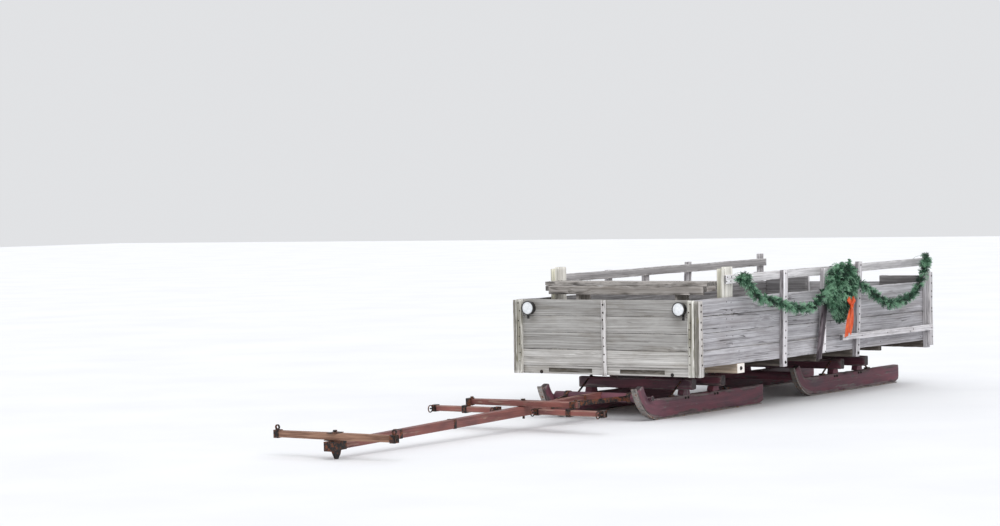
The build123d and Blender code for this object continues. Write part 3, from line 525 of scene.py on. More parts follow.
M["rail"] = wood("rail_boards", (150, 147, 148), (190, 188, 190), (220, 218, 219), (154, 148, 148), stain_amount=0.25, tonevar=0.40, edge_light=(220, 218, 217), crack=(88, 82, 82), dirt=(108, 102, 102), cracks=0.7)
M["moss"] = wood("mossy_post", (128, 124, 112), (192, 190, 182), (236, 235, 230), (110, 106, 86), stain_amount=0.40, tonevar=0.10, edge_light=(244, 242, 236), edge_amount=0.9, moss=(104, 102, 76), moss_amount=0.20, crack=(44, 40, 32), dirt=(100, 95, 78), cracks=1.2, spread=0.070)
M["post2"] = wood("side_post", (150, 146, 142), (190, 186, 184), (222, 219, 217), (150, 142, 132), stain_amount=0.3, tonevar=0.10, edge_light=(236, 232, 228), crack=(78, 72, 64), dirt=(88, 84, 72), moss=(120, 116, 88), moss_amount=0.05, cracks=0.8)
M["pale"] = wood("pale_posts", (168, 164, 158), (208, 205, 200), (234, 232, 228), (166, 162, 146), stain_amount=0.3, tonevar=0.10, edge_light=(234, 231, 224), end=(176, 186, 164), end_dark=0.8, crack=(110, 104, 94), dirt=(190, 187, 166), cracks=0.5)
M["brown"] = wood("leaning_stake_wood", (44, 37, 41), (67, 58, 64), (98, 88, 94), (60, 50, 54), stain_amount=0.3, tonevar=0.08, edge_light=(146, 134, 140), crack=(40, 32, 34), dirt=(58, 48, 52), cracks=0.9)
# the near-white end grain is partly fresh wood's own pale colour and partly painted light on the sunlit end
M["fresh"] = wood("fresh_lumber", (178, 148, 118), (206, 178, 148), (226, 202, 176), (170, 140, 110), stain_amount=0.25, tonevar=0.08, edge_light=(232, 218, 200), end=(252, 248, 243), end_dark=0.92, crack=(120, 92, 66), dirt=(166, 153, 138), cracks=0.3, knots=0.8)
M["beam"] = wood("dark_beams", (54, 49, 46), (84, 77, 71), (114, 106, 99), (60, 52, 44), stain_amount=0.4, tonevar=0.2, edge_light=(134, 126, 118), crack=(26, 23, 22), dirt=(60, 54, 50))
M["deck"] = wood("deck_boards", (84, 78, 72), (122, 115, 107), (152, 145, 136), (90, 80, 66), stain_amount=0.55, tonevar=0.30, edge_light=(160, 152, 142), crack=(34, 30, 28), cracks=1.0)
M["seat"] = wood("seat_boards", (124, 118, 113), (170, 164, 159), (204, 199, 195), (130, 118, 106), stain_amount=0.35, tonevar=0.24, edge_light=(206, 200, 195), crack=(60, 54, 50), dirt=(100, 92, 88))
M["maroon"] = wood("maroon_paint_wood", (60, 50, 52), (90, 78, 80), (120, 108, 110), (66, 54, 52), paint=(118, 67, 79), paint_dark=(76, 49, 61), paint_amount=0.58, tonevar=0.24, edge_light=(146, 126, 126), crack=(26, 20, 22), dirt=(56, 44, 50))
M["pole"] = wood("pole_paint_wood", (88, 64, 58), (130, 96, 86), (160, 126, 114), (84, 54, 48), paint=(138, 83, 75), paint_dark=(94, 56, 55), paint_amount=0.55, tonevar=0.12, edge_light=(174, 142, 130), crack=(40, 28, 28), dirt=(86, 62, 60))
M["yoke"] = wood("yoke_wood", (96, 68, 56), (142, 107, 88), (172, 136, 114), (94, 64, 50), stain_amount=0.4, tonevar=0.1, edge_light=(194, 162, 146), crack=(50, 36, 32), dirt=(90, 62, 54))
M["iron"] = iron("black_iron")
M["steel"] = iron("shoe_steel", base=(140, 136, 132), rust=(120, 74, 46), amount=0.35, metallic=0.9, rough=(0.28, 0.7))
M["nail"] = iron("nail_heads", base=(40, 38, 38), rust=(58, 46, 42), amount=0.7, metallic=0.3)


def lamp_materials():
    t = Tree("lamp_shell")
    o = t.obj()
    n = t.noise(o, 55.0, 5.0, 0.6)
    d = t.noise(o, 14.0, 4.0, 0.6)
    color = t.ramp(n, [(0.35, lin(24, 24, 25)), (0.65, lin(46, 45, 44))])
    color = t.mix(t.m("MULTIPLY", t.step(d, 0.52, 0.7), 0.4), color, lin(120, 112, 102))
    M["shell"] = t.finish(color, t.step(n, 0.3, 0.7, 0.28, 0.48), t.bump(n, 0.0002, 0.4))
    t = Tree("lamp_rim")
    o = t.obj()
    n = t.noise(o, 70.0, 4.0, 0.6)
    color = t.ramp(n, [(0.35, lin(60, 60, 62)), (0.65, lin(104, 103, 102))])
    M["rim"] = t.finish(color, t.step(n, 0.3, 0.7, 0.22, 0.42), t.bump(n, 0.0002, 0.3), t.step(n, 0.3, 0.7, 0.9, 0.75))
    t = Tree("lamp_lens")
    o = t.obj()
    fl = t.node("TexWave", {"Vector": t.scale(o, 1, 1, 1), "Scale": 42.0, "Distortion": 0.3, "Detail": 1.0}, out="Fac", wave_type="BANDS", bands_direction="Y")
    n = t.noise(o, 40.0, 4.0, 0.6)
    # painted reflection: the glass has a near-white base colour standing for what it reflects, and the darker bands
    # along the flutes are painted shade
    color = t.ramp(n, [(0.30, lin(214, 219, 223)), (0.55, lin(244, 247, 249)), (0.75, lin(254, 255, 255))])
    color = t.mix(t.m("MULTIPLY", t.step(fl, 0.75, 1.0), 0.25), color, lin(170, 178, 186))
    M["lens"] = t.finish(color, t.step(n, 0.3, 0.7, 0.10, 0.22), t.bump(fl, 0.0012, 0.6), Coat_Weight=0.6, Coat_Roughness=0.05)


lamp_materials()


def evergreen(name, deep, mid, light, tip):
    t = Tree(name)
    tone, edge = t.attr("tone"), t.attr("edge")
    g = t.attr("gc", "Vector")
    color = t.ramp(tone, [(0.05, lin(*deep)), (0.50, lin(*mid)), (0.95, lin(*light))])
    # painted highlight: the needle tips are lightened toward the tip colour
    lit = t.m("MULTIPLY", edge, t.step(tone, 0.25, 0.75))
    color = t.mix(t.m("MULTIPLY", lit, 0.55), color, lin(*tip))
    n = t.noise(g, 30.0, 3.0, 0.6)
    color = t.mix(t.m("MULTIPLY", t.step(n, 0.52, 0.68), 0.30), color, lin(*[int(c * 0.6) for c in deep]))
    fine = t.noise(t.scale(g, 60, 300, 300), 1.0, 2.0)
    return t.finish(color, t.step(fine, 0.3, 0.7, 0.42, 0.62), t.bump(fine, 0.0003, 0.3))


M["green"] = evergreen("fir_needles", (20, 46, 35), (68, 122, 90), (146, 194, 160), (172, 208, 180))
M["twig"] = wood("garland_twigs", (30, 40, 28), (44, 58, 42), (60, 74, 54), (34, 40, 30), knots=0.0, bump=0.3)


def ribbon_material():
    t = Tree("satin_ribbon")
    g = t.attr("gc", "Vector")
    n = t.noise(t.scale(g, 14, 30, 1), 1.0, 4.0, 0.6)
    w = t.node("TexWave", {"Vector": g, "Scale": 420.0, "Distortion": 0.0}, out="Fac", wave_type="BANDS", bands_direction="X")
    w2 = t.node("TexWave", {"Vector": g, "Scale": 420.0, "Distortion": 0.0}, out="Fac", wave_type="BANDS", bands_direction="Y")
    color = t.ramp(n, [(0.32, lin(175, 51, 0)), (0.55, lin(213, 80, 2)), (0.75, lin(232, 108, 20))])
    # painted shade: the ribbon's edges are darkened toward a deep red
    edge = t.attr("edge")
    color = t.mix(t.m("MULTIPLY", edge, 0.5), color, lin(190, 40, 12))
    return t.finish(color, t.step(n, 0.3, 0.7, 0.52, 0.66), t.bump(t.m("ADD", w, w2), 0.00025, 0.4), Sheen_Weight=0.12, Sheen_Roughness=0.4)


M["ribbon"] = ribbon_material()

# ------------------------------------------------------------------ garland
# Two swags of evergreen rope in the plane y = GY. Distances behind the front
# wall and heights above the planks' lower edge, the route's own points.
ROUTE_FRONT = [(0.625, 0.772), (0.735, 0.800), (0.800, 0.690), (0.950, 0.590), (1.260, 0.560), (1.500, 0.500), (1.760, 0.454), (2.010, 0.465), (2.180, 0.535), (2.248, 0.590)]
ROUTE_REAR = [(2.925, 0.690), (3.190, 0.590), (3.440, 0.490), (3.690, 0.412), (3.960, 0.440), (4.220, 0.490), (4.390, 0.600), (4.490, 0.740), (4.570, 0.890)]


def route_line(name, pts):
    """The smooth line of a route, read from its NURBS spline."""
    cu = bpy.data.curves.new(name, "CURVE")
    cu.dimensions = "3D"
    cu.resolution_u = 24
    sp = cu.splines.new("NURBS")
    sp.points.add(len(pts) - 1)
    for p, (back, z) in zip(sp.points, pts):
        p.co = (xb(back), GY, BZ + z, 1.0)
    sp.order_u = 3
    sp.use_endpoint_u = True
    ob = bpy.data.objects.new(name, cu)
    bpy.context.scene.collection.objects.link(ob)
    bpy.context.view_layer.update()
    me = bpy.data.meshes.new_from_object(ob)
    line = np.array([v.co[:] for v in me.vertices])
    bpy.data.objects.remove(ob)
    bpy.data.meshes.remove(me)
    bpy.data.curves.remove(cu)
    return line


def unit(v):
    return v / np.maximum(np.linalg.norm(v, axis=-1, keepdims=True), 1e-9)


def sprigs(b, base, direction, length, needles, needle_len, width, rng, tone0, droop=0.0, spread=(0.55, 1.0), mat=0, twig_mat=None):
    """Small fir twigs with needles all round. base and direction are arrays of points."""
    n = len(base)
    d = unit(direction)
    ref = np.where(np.abs(d[:, 2:3]) < 0.8, np.array([[0.0, 0.0, 1.0]]), np.array([[1.0, 0.0, 0.0]]))
    e1 = unit(np.cross(d, ref))
    e2 = np.cross(d, e1)
    u = (np.arange(needles) + 0.5) / needles
    ln = length[:, None] * u[None, :]
    psi = rng.uniform(0, 2 * math.pi, (n, 1)) + np.arange(needles)[None, :] * 2.39996 + rng.normal(0, 0.25, (n, needles))
    phi = rng.uniform(spread[0], spread[1], (n, needles)) * (1.0 - 0.35 * u[None, :])
    side = np.cos(psi)[..., None] * e1[:, None, :] + np.sin(psi)[..., None] * e2[:, None, :]
    nd = unit(np.cos(phi)[..., None] * d[:, None, :] + np.sin(phi)[..., None] * side)
    nl = needle_len * rng.uniform(0.75, 1.15, (n, needles)) * (1.0 - 0.35 * u[None, :] ** 2)
    root = base[:, None, :] + ln[..., None] * d[:, None, :]
    root[..., 2] -= droop * ln ** 2 / np.maximum(length[:, None], 1e-6)
    tip = root + nl[..., None] * nd
    wv = unit(np.cross(nd, rng.normal(0, 1, (n, needles, 3))))
    w = width * rng.uniform(0.8, 1.2, (n, needles))[..., None]
    mid = root + 0.45 * (tip - root)
    quad = np.stack([root, mid + w / 2 * wv, tip, mid - w / 2 * wv], axis=2)     # n, needles, 4, 3
    v = quad.reshape(-1, 3)
    k = n * needles
    idx = np.arange(k)[:, None] * 4 + np.arange(4)[None, :]
    tone = np.clip(tone0[:, None] + rng.normal(0, 0.10, (n, needles)), 0, 1)
    tone = np.repeat(tone.reshape(-1), 4)
    # painted highlight: a factor for the lighter needle tips, stored in the edge attribute
    tip_highlight = np.tile(np.array([0.0, 0.35, 1.0, 0.35]), k) * 0.8
    b.add(v, idx.tolist(), v, tip_highlight, 0.0, tone, mat)
    return v


def tube(b, line, radius, sides=8, mat=0, tone=0.5, closed=False, caps=True):
    """A round bar along points."""
    line = np.asarray(line, float)
    k = len(line)
    T = np.gradient(line, axis=0)
    if closed:
        T = np.roll(line, -1, 0) - np.roll(line, 1, 0)
    T = unit(T)
    N = np.zeros_like(T)
    ref = np.array([0.0, 0.0, 1.0]) if abs(T[0][2]) < 0.9 else np.array([1.0, 0.0, 0.0])
    N[0] = unit(np.cross(np.cross(T[0], ref), T[0]))
    for i in range(1, k):
        N[i] = unit(N[i - 1] - T[i] * np.dot(N[i - 1], T[i]))
    Bn = np.cross(T, N)
    a = np.arange(sides) / sides * 2 * math.pi
    rad = np.broadcast_to(np.asarray(radius, float), (k,))
    P = line[:, None, :] + rad[:, None, None] * (np.cos(a)[None, :, None] * N[:, None, :] + np.sin(a)[None, :, None] * Bn[:, None, :])
    s = np.r_[0, np.cumsum(np.linalg.norm(np.diff(line, axis=0), axis=1))]
    gc = np.stack([np.repeat(s, sides), np.tile(a * rad.mean(), k), np.zeros(k * sides)], -1)
    faces = []
    for i in range(k if closed else k - 1):
        i2 = (i + 1) % k
        for j in range(sides):
            j2 = (j + 1) % sides
            faces.append((i * sides + j, i * sides + j2, i2 * sides + j2, i2 * sides + j))
    if caps and not closed:
        faces.append(tuple(range(sides))[::-1])
        faces.append(tuple((k - 1) * sides + j for j in range(sides)))
    b.add(P.reshape(-1, 3), faces, gc, 0.0, 0.0, tone, mat)


def clumps(base, out, reach, count, fan, rng):
    """Several sprigs fanned out of each clump: their feet, directions and lengths."""
    n = len(base)
    d = unit(out)
    ref = np.where(np.abs(d[:, 2:3]) < 0.8, np.array([[0.0, 0.0, 1.0]]), np.array([[1.0, 0.0, 0.0]]))
    e1 = unit(np.cross(d, ref))
    e2 = np.cross(d, e1)
    ang = (np.arange(count)[None, :] / count + rng.uniform(0, 1, (n, 1))) * 2 * math.pi
    rad = np.where(np.arange(count)[None, :] == 0, 0.0, fan) * rng.uniform(0.55, 1.15, (n, count))
    dirs = unit(d[:, None, :] + np.tan(rad)[..., None] * (np.cos(ang)[..., None] * e1[:, None, :] + np.sin(ang)[..., None] * e2[:, None, :]))
    feet = base[:, None, :] + 0.006 * rng.normal(0, 1, (n, count, 3))
    ln = reach[:, None] * rng.uniform(0.70, 1.0, (n, count)) * np.where(np.arange(count)[None, :] == 0, 1.0, 0.92)
    return feet.reshape(-1, 3), dirs.reshape(-1, 3), ln.reshape(-1)


def swag(name, node, pts, seed, full_end):
    line = route_line(name, pts)
    seg = np.linalg.norm(np.diff(line, axis=0), axis=1)
    s = np.r_[0, np.cumsum(seg)]
    L = s[-1]
    rng = np.random.default_rng(seed)
    grad = np.stack([np.gradient(line[:, k], s) for k in range(3)], 1)

    def frame_at(at):
        pos = np.stack([np.interp(at, s, line[:, k]) for k in range(3)], 1)
        tan = unit(np.stack([np.interp(at, s, grad[:, k]) for k in range(3)], 1))
        nrm = np.stack([-tan[:, 2], np.zeros(len(at)), tan[:, 0]], 1)
        return pos, tan, nrm
    count = int(L / 0.0135)
    at = (np.arange(count) + 0.5 + rng.uniform(-0.4, 0.4, count)) / count * L
    pos, tan, nrm = frame_at(at)
    th = np.arange(count) * 2.39996 + rng.normal(0, 0.30, count)
    radial = np.cos(th)[:, None] * nrm + np.sin(th)[:, None] * np.array([[0.0, 1.0, 0.0]])
    reach = rng.uniform(0.042, 0.070, count)
    thick = np.exp(-((at - (0.06 if full_end == 0 else L - 0.10)) / 0.16) ** 2)
    reach = reach + 0.014 * thick
    lean = rng.uniform(0.1, 0.6, count)
    if full_end == 0:
        lean = np.where(at < 0.10, rng.uniform(-1.2, 0.4, count), lean)
        lean = np.where(at > L - 0.06, rng.uniform(0.3, 1.3, count), lean)
    else:
        lean = np.where(at < 0.06, rng.uniform(-1.3, -0.3, count), lean)
    out = radial + lean[:, None] * tan + np.array([[0.0, 0.0, -0.12]])
    # a fuller tuft at the loose end
    extra = 44 if full_end == 0 else 24
    at2 = rng.uniform(0.0, 0.13, extra) if full_end == 0 else L - rng.uniform(0.0, 0.14, extra)
    pos2 = frame_at(at2)[0]
    rad2 = unit(rng.normal(0, 1, (extra, 3)) * np.array([1.0, 0.8, 1.0]))
    # the other end runs into the bunch
    joint = 18
    at3 = L - rng.uniform(0.0, 0.03, joint) if full_end == 0 else rng.uniform(0.0, 0.03, joint)
    pos3, tan3, nrm3 = frame_at(at3)
    rad3 = unit(rng.normal(0, 0.45, (joint, 3)) + (1.0 if full_end == 0 else -1.0) * tan3)
    at, pos, out = np.r_[at, at2, at3], np.concatenate([pos, pos2, pos3]), np.concatenate([out, rad2 + np.array([[0.0, 0.0, -0.10]]), rad3])
    radial = np.concatenate([radial, rad2, rad3])
    reach = np.r_[reach, rng.uniform(0.060, 0.082, extra), rng.uniform(0.040, 0.062, joint)]
    count = len(at)
    feet, dirs, ln = clumps(pos + radial * 0.010, out, reach, 7, 0.58, rng)
    if full_end == 0:
        ln = np.minimum(ln, np.maximum(0.055, np.repeat(L - at, 7) * 0.9 + 0.055))
    else:
        ln = np.minimum(ln, np.maximum(0.045, np.repeat(L - at, 7) * 0.9 + 0.045))
    b = Build()
    foot = pos + radial * reach[:, None]
    tone0 = (0.56 if full_end == 0 else 0.49) + 0.95 * vnoise(foot[:, 0] * 28, foot[:, 1] * 28, foot[:, 2] * 28, seed=seed) + rng.normal(0, 0.18, count)
    tone0 = np.clip(np.repeat(tone0, 7) + rng.normal(0, 0.06, 7 * count), 0, 1)
    sprigs(b, feet, dirs, ln, 34, 0.0170, 0.0024, rng, tone0, droop=0.15)
    # short sprigs hide the rope; their dark tone is painted shade for the inside of the rope
    count = 330
    at = (np.arange(count) + rng.uniform(0, 1, count)) / count * L
    pos, tan, nrm = frame_at(at)
    th = np.arange(count) * 2.39996 + 1.0
    radial = np.cos(th)[:, None] * nrm + np.sin(th)[:, None] * np.array([[0.0, 1.0, 0.0]])
    sprigs(b, pos + radial * 0.004, radial + 0.8 * tan, np.full(count, 0.030), 30, 0.0165, 0.0026, rng, rng.uniform(0.0, 0.18, count))
    V = np.concatenate(b.v)
    # nothing stands further out than the rope's own thickness allows
    P = np.stack([np.interp(np.linspace(0, L, 400), s, line[:, k]) for k in range(3)], 1)
    far = np.empty(len(V))
    for i in range(0, len(V), 20000):
        part = V[i:i + 20000]
        dd = ((part[:, None, :] - P[None, :, :]) ** 2).sum(2)
        j = dd.argmin(1)
        dist = np.sqrt(dd[np.arange(len(part)), j])
        k = np.where(dist > 0.064, (0.064 + 0.011 * np.tanh((dist - 0.064) / 0.011)) / np.maximum(dist, 1e-9), 1.0)
        V[i:i + 20000] = P[j] + (part - P[j]) * k[:, None]
        far[i:i + 20000] = dist
    b.v = [V]
    # painted shade: needles deep inside the rope are darkened; the farthest tips get a painted highlight
    b.tone = [np.clip(np.concatenate(b.tone) * (0.52 + 0.48 * np.clip(far / 0.050, 0, 1)) + 0.12 * np.clip((far - 0.05) / 0.02, 0, 1), 0, 1)]
    ob = b.make(name, [M["green"]], "box", (node,), smooth=False)
    core = Build()
    tube(core, line, 0.011, 8)
    core_ob = core.make(name + "_core", [M["twig"]], "box")
    return line


LINE_F = swag("garland_front_needles", "garland_front", ROUTE_FRONT, 11, 0)
LINE_R = swag("garland_rear_needles", "garland_rear", ROUTE_REAR, 12, 1)


def bunch():
    """The hanging mass of branches in the middle."""
    sec = np.array([(0.290, 2.555, 0.042, 0.036), (0.360, 2.534, 0.145, 0.066), (0.450, 2.512, 0.208, 0.069), (0.560, 2.568, 0.280, 0.091), (0.700, 2.618, 0.294, 0.092), (0.800, 2.618, 0.258, 0.086), (0.880, 2.695, 0.070, 0.044)])

    def mid_y(z):
        return 1.089 + np.interp(z, (0.29, 0.36, 0.45, 0.56), (0.0, 0.006, 0.016, 0.0))
    rng = np.random.default_rng(21)
    b = Build()
    count = 400
    # heights by the girth there
    zz = np.linspace(0.290, 0.878, 200)
    girth = np.interp(zz, sec[:, 0], sec[:, 2]) + 0.04
    cum = np.cumsum(girth) / girth.sum()
    z = np.interp((np.arange(count) + rng.uniform(0, 1, count)) / count, cum, zz)
    back = np.interp(z, sec[:, 0], sec[:, 1])
    ha, hb = np.interp(z, sec[:, 0], sec[:, 2]), np.interp(z, sec[:, 0], sec[:, 3])
    th = np.arange(count) * 2.39996
    tip = np.stack([xb(np.clip(back - ha * np.cos(th), 2.266, 2.914)), mid_y(z) + hb * np.sin(th), BZ + z], 1)
    out = unit(np.stack([np.cos(th) * hb / ha, np.sin(th), 0 * th], 1))
    lift = np.interp(z, (0.29, 0.55, 0.84), (-0.95, -0.60, 0.50))[:, None] + rng.normal(0, 0.22, (count, 1))
    d = unit(out * 0.80 + np.array([[0, 0, 1.0]]) * lift * 0.8 + rng.normal(0, 0.38, (count, 3)))
    reach = rng.uniform(0.045, 0.080, count) * np.clip(ha / 0.14, 0.55, 1.1)
    base = tip - d * reach[:, None]
    feet, dirs, ln = clumps(base, d, reach, 6, 0.62, rng)
    tone = np.repeat(np.clip(0.60 + 0.85 * vnoise(tip[:, 0] * 33, tip[:, 1] * 33, tip[:, 2] * 33, seed=5) + rng.normal(0, 0.20, count), 0, 1), 6)
    sprigs(b, feet, dirs, ln, 36, 0.0190, 0.0027, rng, np.clip(tone + rng.normal(0, 0.07, len(tone)), 0, 1), droop=0.30)
    # sprigs fill the inside; their dark tone is painted shade
    count = 420
    z = 0.32 + 0.53 * rng.uniform(0, 1, count)
    back = np.interp(z, sec[:, 0], sec[:, 1])
    ha, hb = np.interp(z, sec[:, 0], sec[:, 2]), np.interp(z, sec[:, 0], sec[:, 3])
    th = np.arange(count) * 2.39996
    k = 0.30 + 0.35 * rng.uniform(0, 1, count)
    base = np.stack([xb(back) + ha * k * np.cos(th), mid_y(z) + hb * k * np.sin(th), BZ + z], 1)
    d = unit(np.stack([np.cos(th), np.sin(th), -0.4 + 0 * th], 1) + rng.normal(0, 0.5, (count, 3)))
    sprigs(b, base, d, rng.uniform(0.035, 0.060, count) * np.clip(ha / 0.14, 0.6, 1.0), 34, 0.0190, 0.0030, rng, rng.uniform(0.0, 0.16, count))
    V = np.concatenate(b.v)
    # the foot runs out to a tip
    low = np.clip((BZ + 0.44 - V[:, 2]) / 0.15, 0, 1)
    xt = xb(np.interp(V[:, 2] - BZ, (0.28, 0.44), (2.560, 2.505)))
    V[:, 0] = xt + (V[:, 0] - xt) * (1 - 0.45 * low)
    # off the stake and the wall
    backs = FX - V[:, 0]
    inner = np.where(backs < 2.51, 1.0035, 0.985)
    inner = np.where((backs < 2.46) & (V[:, 2] < BZ + 0.52), 1.0290, inner)
    V[:, 1] = np.maximum(V[:, 1], inner + 0.004 * np.abs(vnoise(V[:, 0] * 40, V[:, 2] * 40)))
    zc = np.clip(V[:, 2] - BZ, 0.29, 0.88)
    e = np.sqrt(((FX - V[:, 0] - np.interp(zc, sec[:, 0], sec[:, 1])) / np.interp(zc, sec[:, 0], sec[:, 2])) ** 2 + ((V[:, 1] - mid_y(zc)) / np.interp(zc, sec[:, 0], sec[:, 3])) ** 2)
    b.v = [V]
    # painted shade: needles deep inside the bunch are darkened, and a painted highlight lightens the outermost tips
    b.tone = [np.clip(np.concatenate(b.tone) * (0.45 + 0.55 * np.clip(e / 0.92, 0, 1)) + 0.10 * np.clip((e - 0.9) / 0.2, 0, 1), 0, 1)]
    b.make("garland_bunch_needles", [M["green"]], "box", ("garland_bunch",), smooth=False)
    # branches inside
    c = Build()
    for i in range(16):
        a = i * 2.4
        top = np.array([xb(2.67) + 0.03 * math.cos(a), 1.089 + 0.02 * math.sin(a), BZ + 0.82 - 0.01 * i])
        zz = 0.36 + 0.40 * ((i * 7) % 16) / 16
        hb_ = float(np.interp(zz, sec[:, 0], sec[:, 3])) * 0.6
        ha_ = float(np.interp(zz, sec[:, 0], sec[:, 2])) * 0.7
        end = np.array([xb(float(np.interp(zz, sec[:, 0], sec[:, 1]))) + ha_ * math.cos(a), float(mid_y(zz)) + hb_ * math.sin(a), BZ + zz])
        w = np.linspace(0, 1, 8)[:, None]
        pts = top * (1 - w) + end * w
        pts[:, 2] += 0.03 * np.sin(w[:, 0] * math.pi)
        tube(c, pts, np.linspace(0.006, 0.003, 8), 6, tone=0.4)
    c.make("garland_branches", [M["twig"]], "box")


bunch()

# ------------------------------------------------------------------ box: planks
b = Build()
for i, tn in enumerate((0.78, (0.62, 0.60, 0.46, 0.46), (0.80, 0.78, 0.40, 0.40, 0.40), (0.66, 0.66, 0.34, 0.34, 0.34))):
    z0 = BZ + i * (PH + PG)
    # painted shade with some dirt: the inner faces of the planks are darkened
    bslab(b, 0, BOX_L, HW - WT, HW, z0, z0 + PH, tone=tn, warp=0.0022, chip=0.0045, dirt=(0.8, 0, 0, 0))
b.make("left_wall_planks", [M["side"]], "box", ("left_wall",))
b = Build()
for i, tn in enumerate((0.6, 0.3, 0.7, 0.4)):
    z0 = BZ + i * (PH + PG)
    # painted shade with some dirt: the inner faces of the planks are darkened
    bslab(b, 0, BOX_L, -HW, -HW + WT, z0, z0 + PH, tone=tn, warp=0.0022, chip=0.0045, dirt=(0, 0, 0.8, 0))
b.make("right_wall_planks", [M["side"]], "box", ("right_wall",))
b = Build()
for i, tn in enumerate((1.80, 0.34, 0.52, 0.20)):
    z0 = BZ + i * (PH + PG)
    # painted shade with some dirt: the inner faces of the planks are darkened
    bslab(b, 0, WT, -HW + WT + 0.0005, HW - WT - 0.0005, z0, z0 + PH, tone=tn, warp=0.0014, chip=0.0022, dirt=(0.8, 0, 0, 0))


def lamp_shade_patch(v):
    """Painted shade: a soft dark patch on the wall just below each headlamp."""
    y = np.abs(v[:, 1])
    z = v[:, 2] - BZ
    return 0.55 * np.exp(-((y - 0.780) / 0.055) ** 2) * np.exp(-((z - 0.430) / 0.045) ** 2) * (v[:, 0] > FX - 0.006)


b.soil_and_shade(lamp_shade_patch)
b.make("front_wall_planks", [M["front"]], "box", ("front_wall",))

b = Build()
dw = (2 * (HW - WT - 0.001) - 8 * 0.004) / 9
for i in range(9):
    y0 = -(HW - WT - 0.001) + i * (dw + 0.004)
    bslab(b, WT + 0.001, BOX_L - WT - 0.001, y0, y0 + dw, BZ, DECK, step=0.06, grid=0.05, chip=0.006)
b.make("deck_planks", [M["deck"]], "box", ("deck_boards",))

b = Build()
for b0, b1 in ((1.580, 1.656), (2.300, 2.376), (3.075, 3.151), (4.714, 4.796)):
    bslab(b, b0, b1, -HW, HW, 0.395, BZ - 0.0005, chip=0.006)
bslab(b, 3.691, 3.729, -HW, HW, BZ - 0.050, BZ - 0.0005, chip=0.004)
b.make("cross_beam_timbers", [M["beam"]], "box", ("cross_beams",))
b = Build()
for b0, b1 in ((0.160, 0.751), (0.885, 1.580), (1.656, 2.300), (2.376, 3.075), (3.151, 3.691), (3.867, 4.714)):
    for s in (1, -1):
        bslab(b, b0 + 0.0005, b1 - 0.0005, s * 0.300, s * 0.390, 0.395, BZ - 0.0006, chip=0.005, step=0.06)
b.make("side_sill_timbers", [M["beam"]], "box", ("side_sills",))
# painted shade: the two slot recesses in the sill's front face are darkened
carve("front_sill", "front_sill_timber", [M["front"]], "box", "y", 0.004, 3, tone=1.9, dirt=lambda co: ((np.abs(co[:, 1]) > 0.1495) & (np.abs(co[:, 1]) < 0.6205) & (co[:, 2] > BZ - 0.0605) & (co[:, 2] < BZ - 0.0215) & (co[:, 0] < FX - 0.0105)) * 1.0)
# painted shade: the fresh bolster's front face is darkened
carve("front_bolster", "front_bolster_timber", [M["fresh"]], "box", "y", 0.004, 4, tone=0.6, dirt=lambda co: (co[:, 0] > co[:, 0].max() - 0.0008) * 1.0)
carve("rear_bolster", "rear_bolster_timber", [M["beam"]], "box", "y", 0.004, 5, tone=0.4)

# front batten and corner posts
b = Build()
slab(b, (FX, -0.023, BZ - 0.082), (FX + 0.020, 0.023, TOP - 0.004), tone=0.6, chip=0.009, warp=0.0022)
b.make("front_batten_strip", [M["strip"]], "box", ("front_batten",))
b = Build()
for s in (1, -1):
    slab(b, (FX + 0.0004, s * 0.888, BZ - 0.076), (FX + 0.035, s * (HW - 0.0006), TOP - 0.002), tone=0.9, chip=0.005, grid=0.008, seed=141 + s)
    # painted shade: the outer post is darkened on its front-facing side, its rear side and the face toward the first
    # post
    out = (0.2, 0.84, 0.0, 0.5) if s > 0 else (0.0, 0.84, 0.2, 0.5)
    slab(b, (FX - 0.060, s * (HW + 0.0002), BZ - 0.078), (FX + 0.010, s * SY, TOP - 0.008), tone=1.6, chip=0.008, grid=0.008, mat=1, dirt=out)


def post_moss_and_shade(v):
    """Moss and dirt down the middle of each post's front face, washed off low down, and painted shade on the first
    post's narrow side face in the notch in front of the outer post.
    """
    y, z = np.abs(v[:, 1]), v[:, 2] - BZ
    wob = 0.006 * vnoise(z * 9, y * 0, seed=61) + 0.004 * vnoise(z * 31, y * 0, seed=62)
    band = np.exp(-((y - 0.9225 - wob) / 0.0215) ** 6) * (v[:, 0] > FX + 0.030)
    fade = np.clip((z - 0.06) / 0.12, 0.25, 1.0) * np.clip(1.10 - 0.8 * np.maximum(0, vnoise(z * 8, y * 30, seed=63)), 0, 1)
    # painted shade in the notch beside the outer post
    side = (y > 0.946) * (y < 0.9505) * (v[:, 0] > FX) * (v[:, 0] < FX + 0.027)
    return 0.78 * band * fade + 0.7 * side


b.soil_and_shade(post_moss_and_shade)
b.make("corner_post_timbers", [M["moss"], M["post2"]], "box", ("corner_posts",))


def upright(b, low, high, width, z0, z1, y0, y1, **kw):
    """A stake on the wall: low and high are its front edge's distances back."""
    a = np.array([width / 2, 0, 0])
    t = np.array([0, abs(y1 - y0) / 2, 0])
    y = (y0 + y1) / 2
    board(b, [((xb(low + width / 2), y, z0), a, t), ((xb(high + width / 2), y, z1), a, t)], **kw)


b = Build()
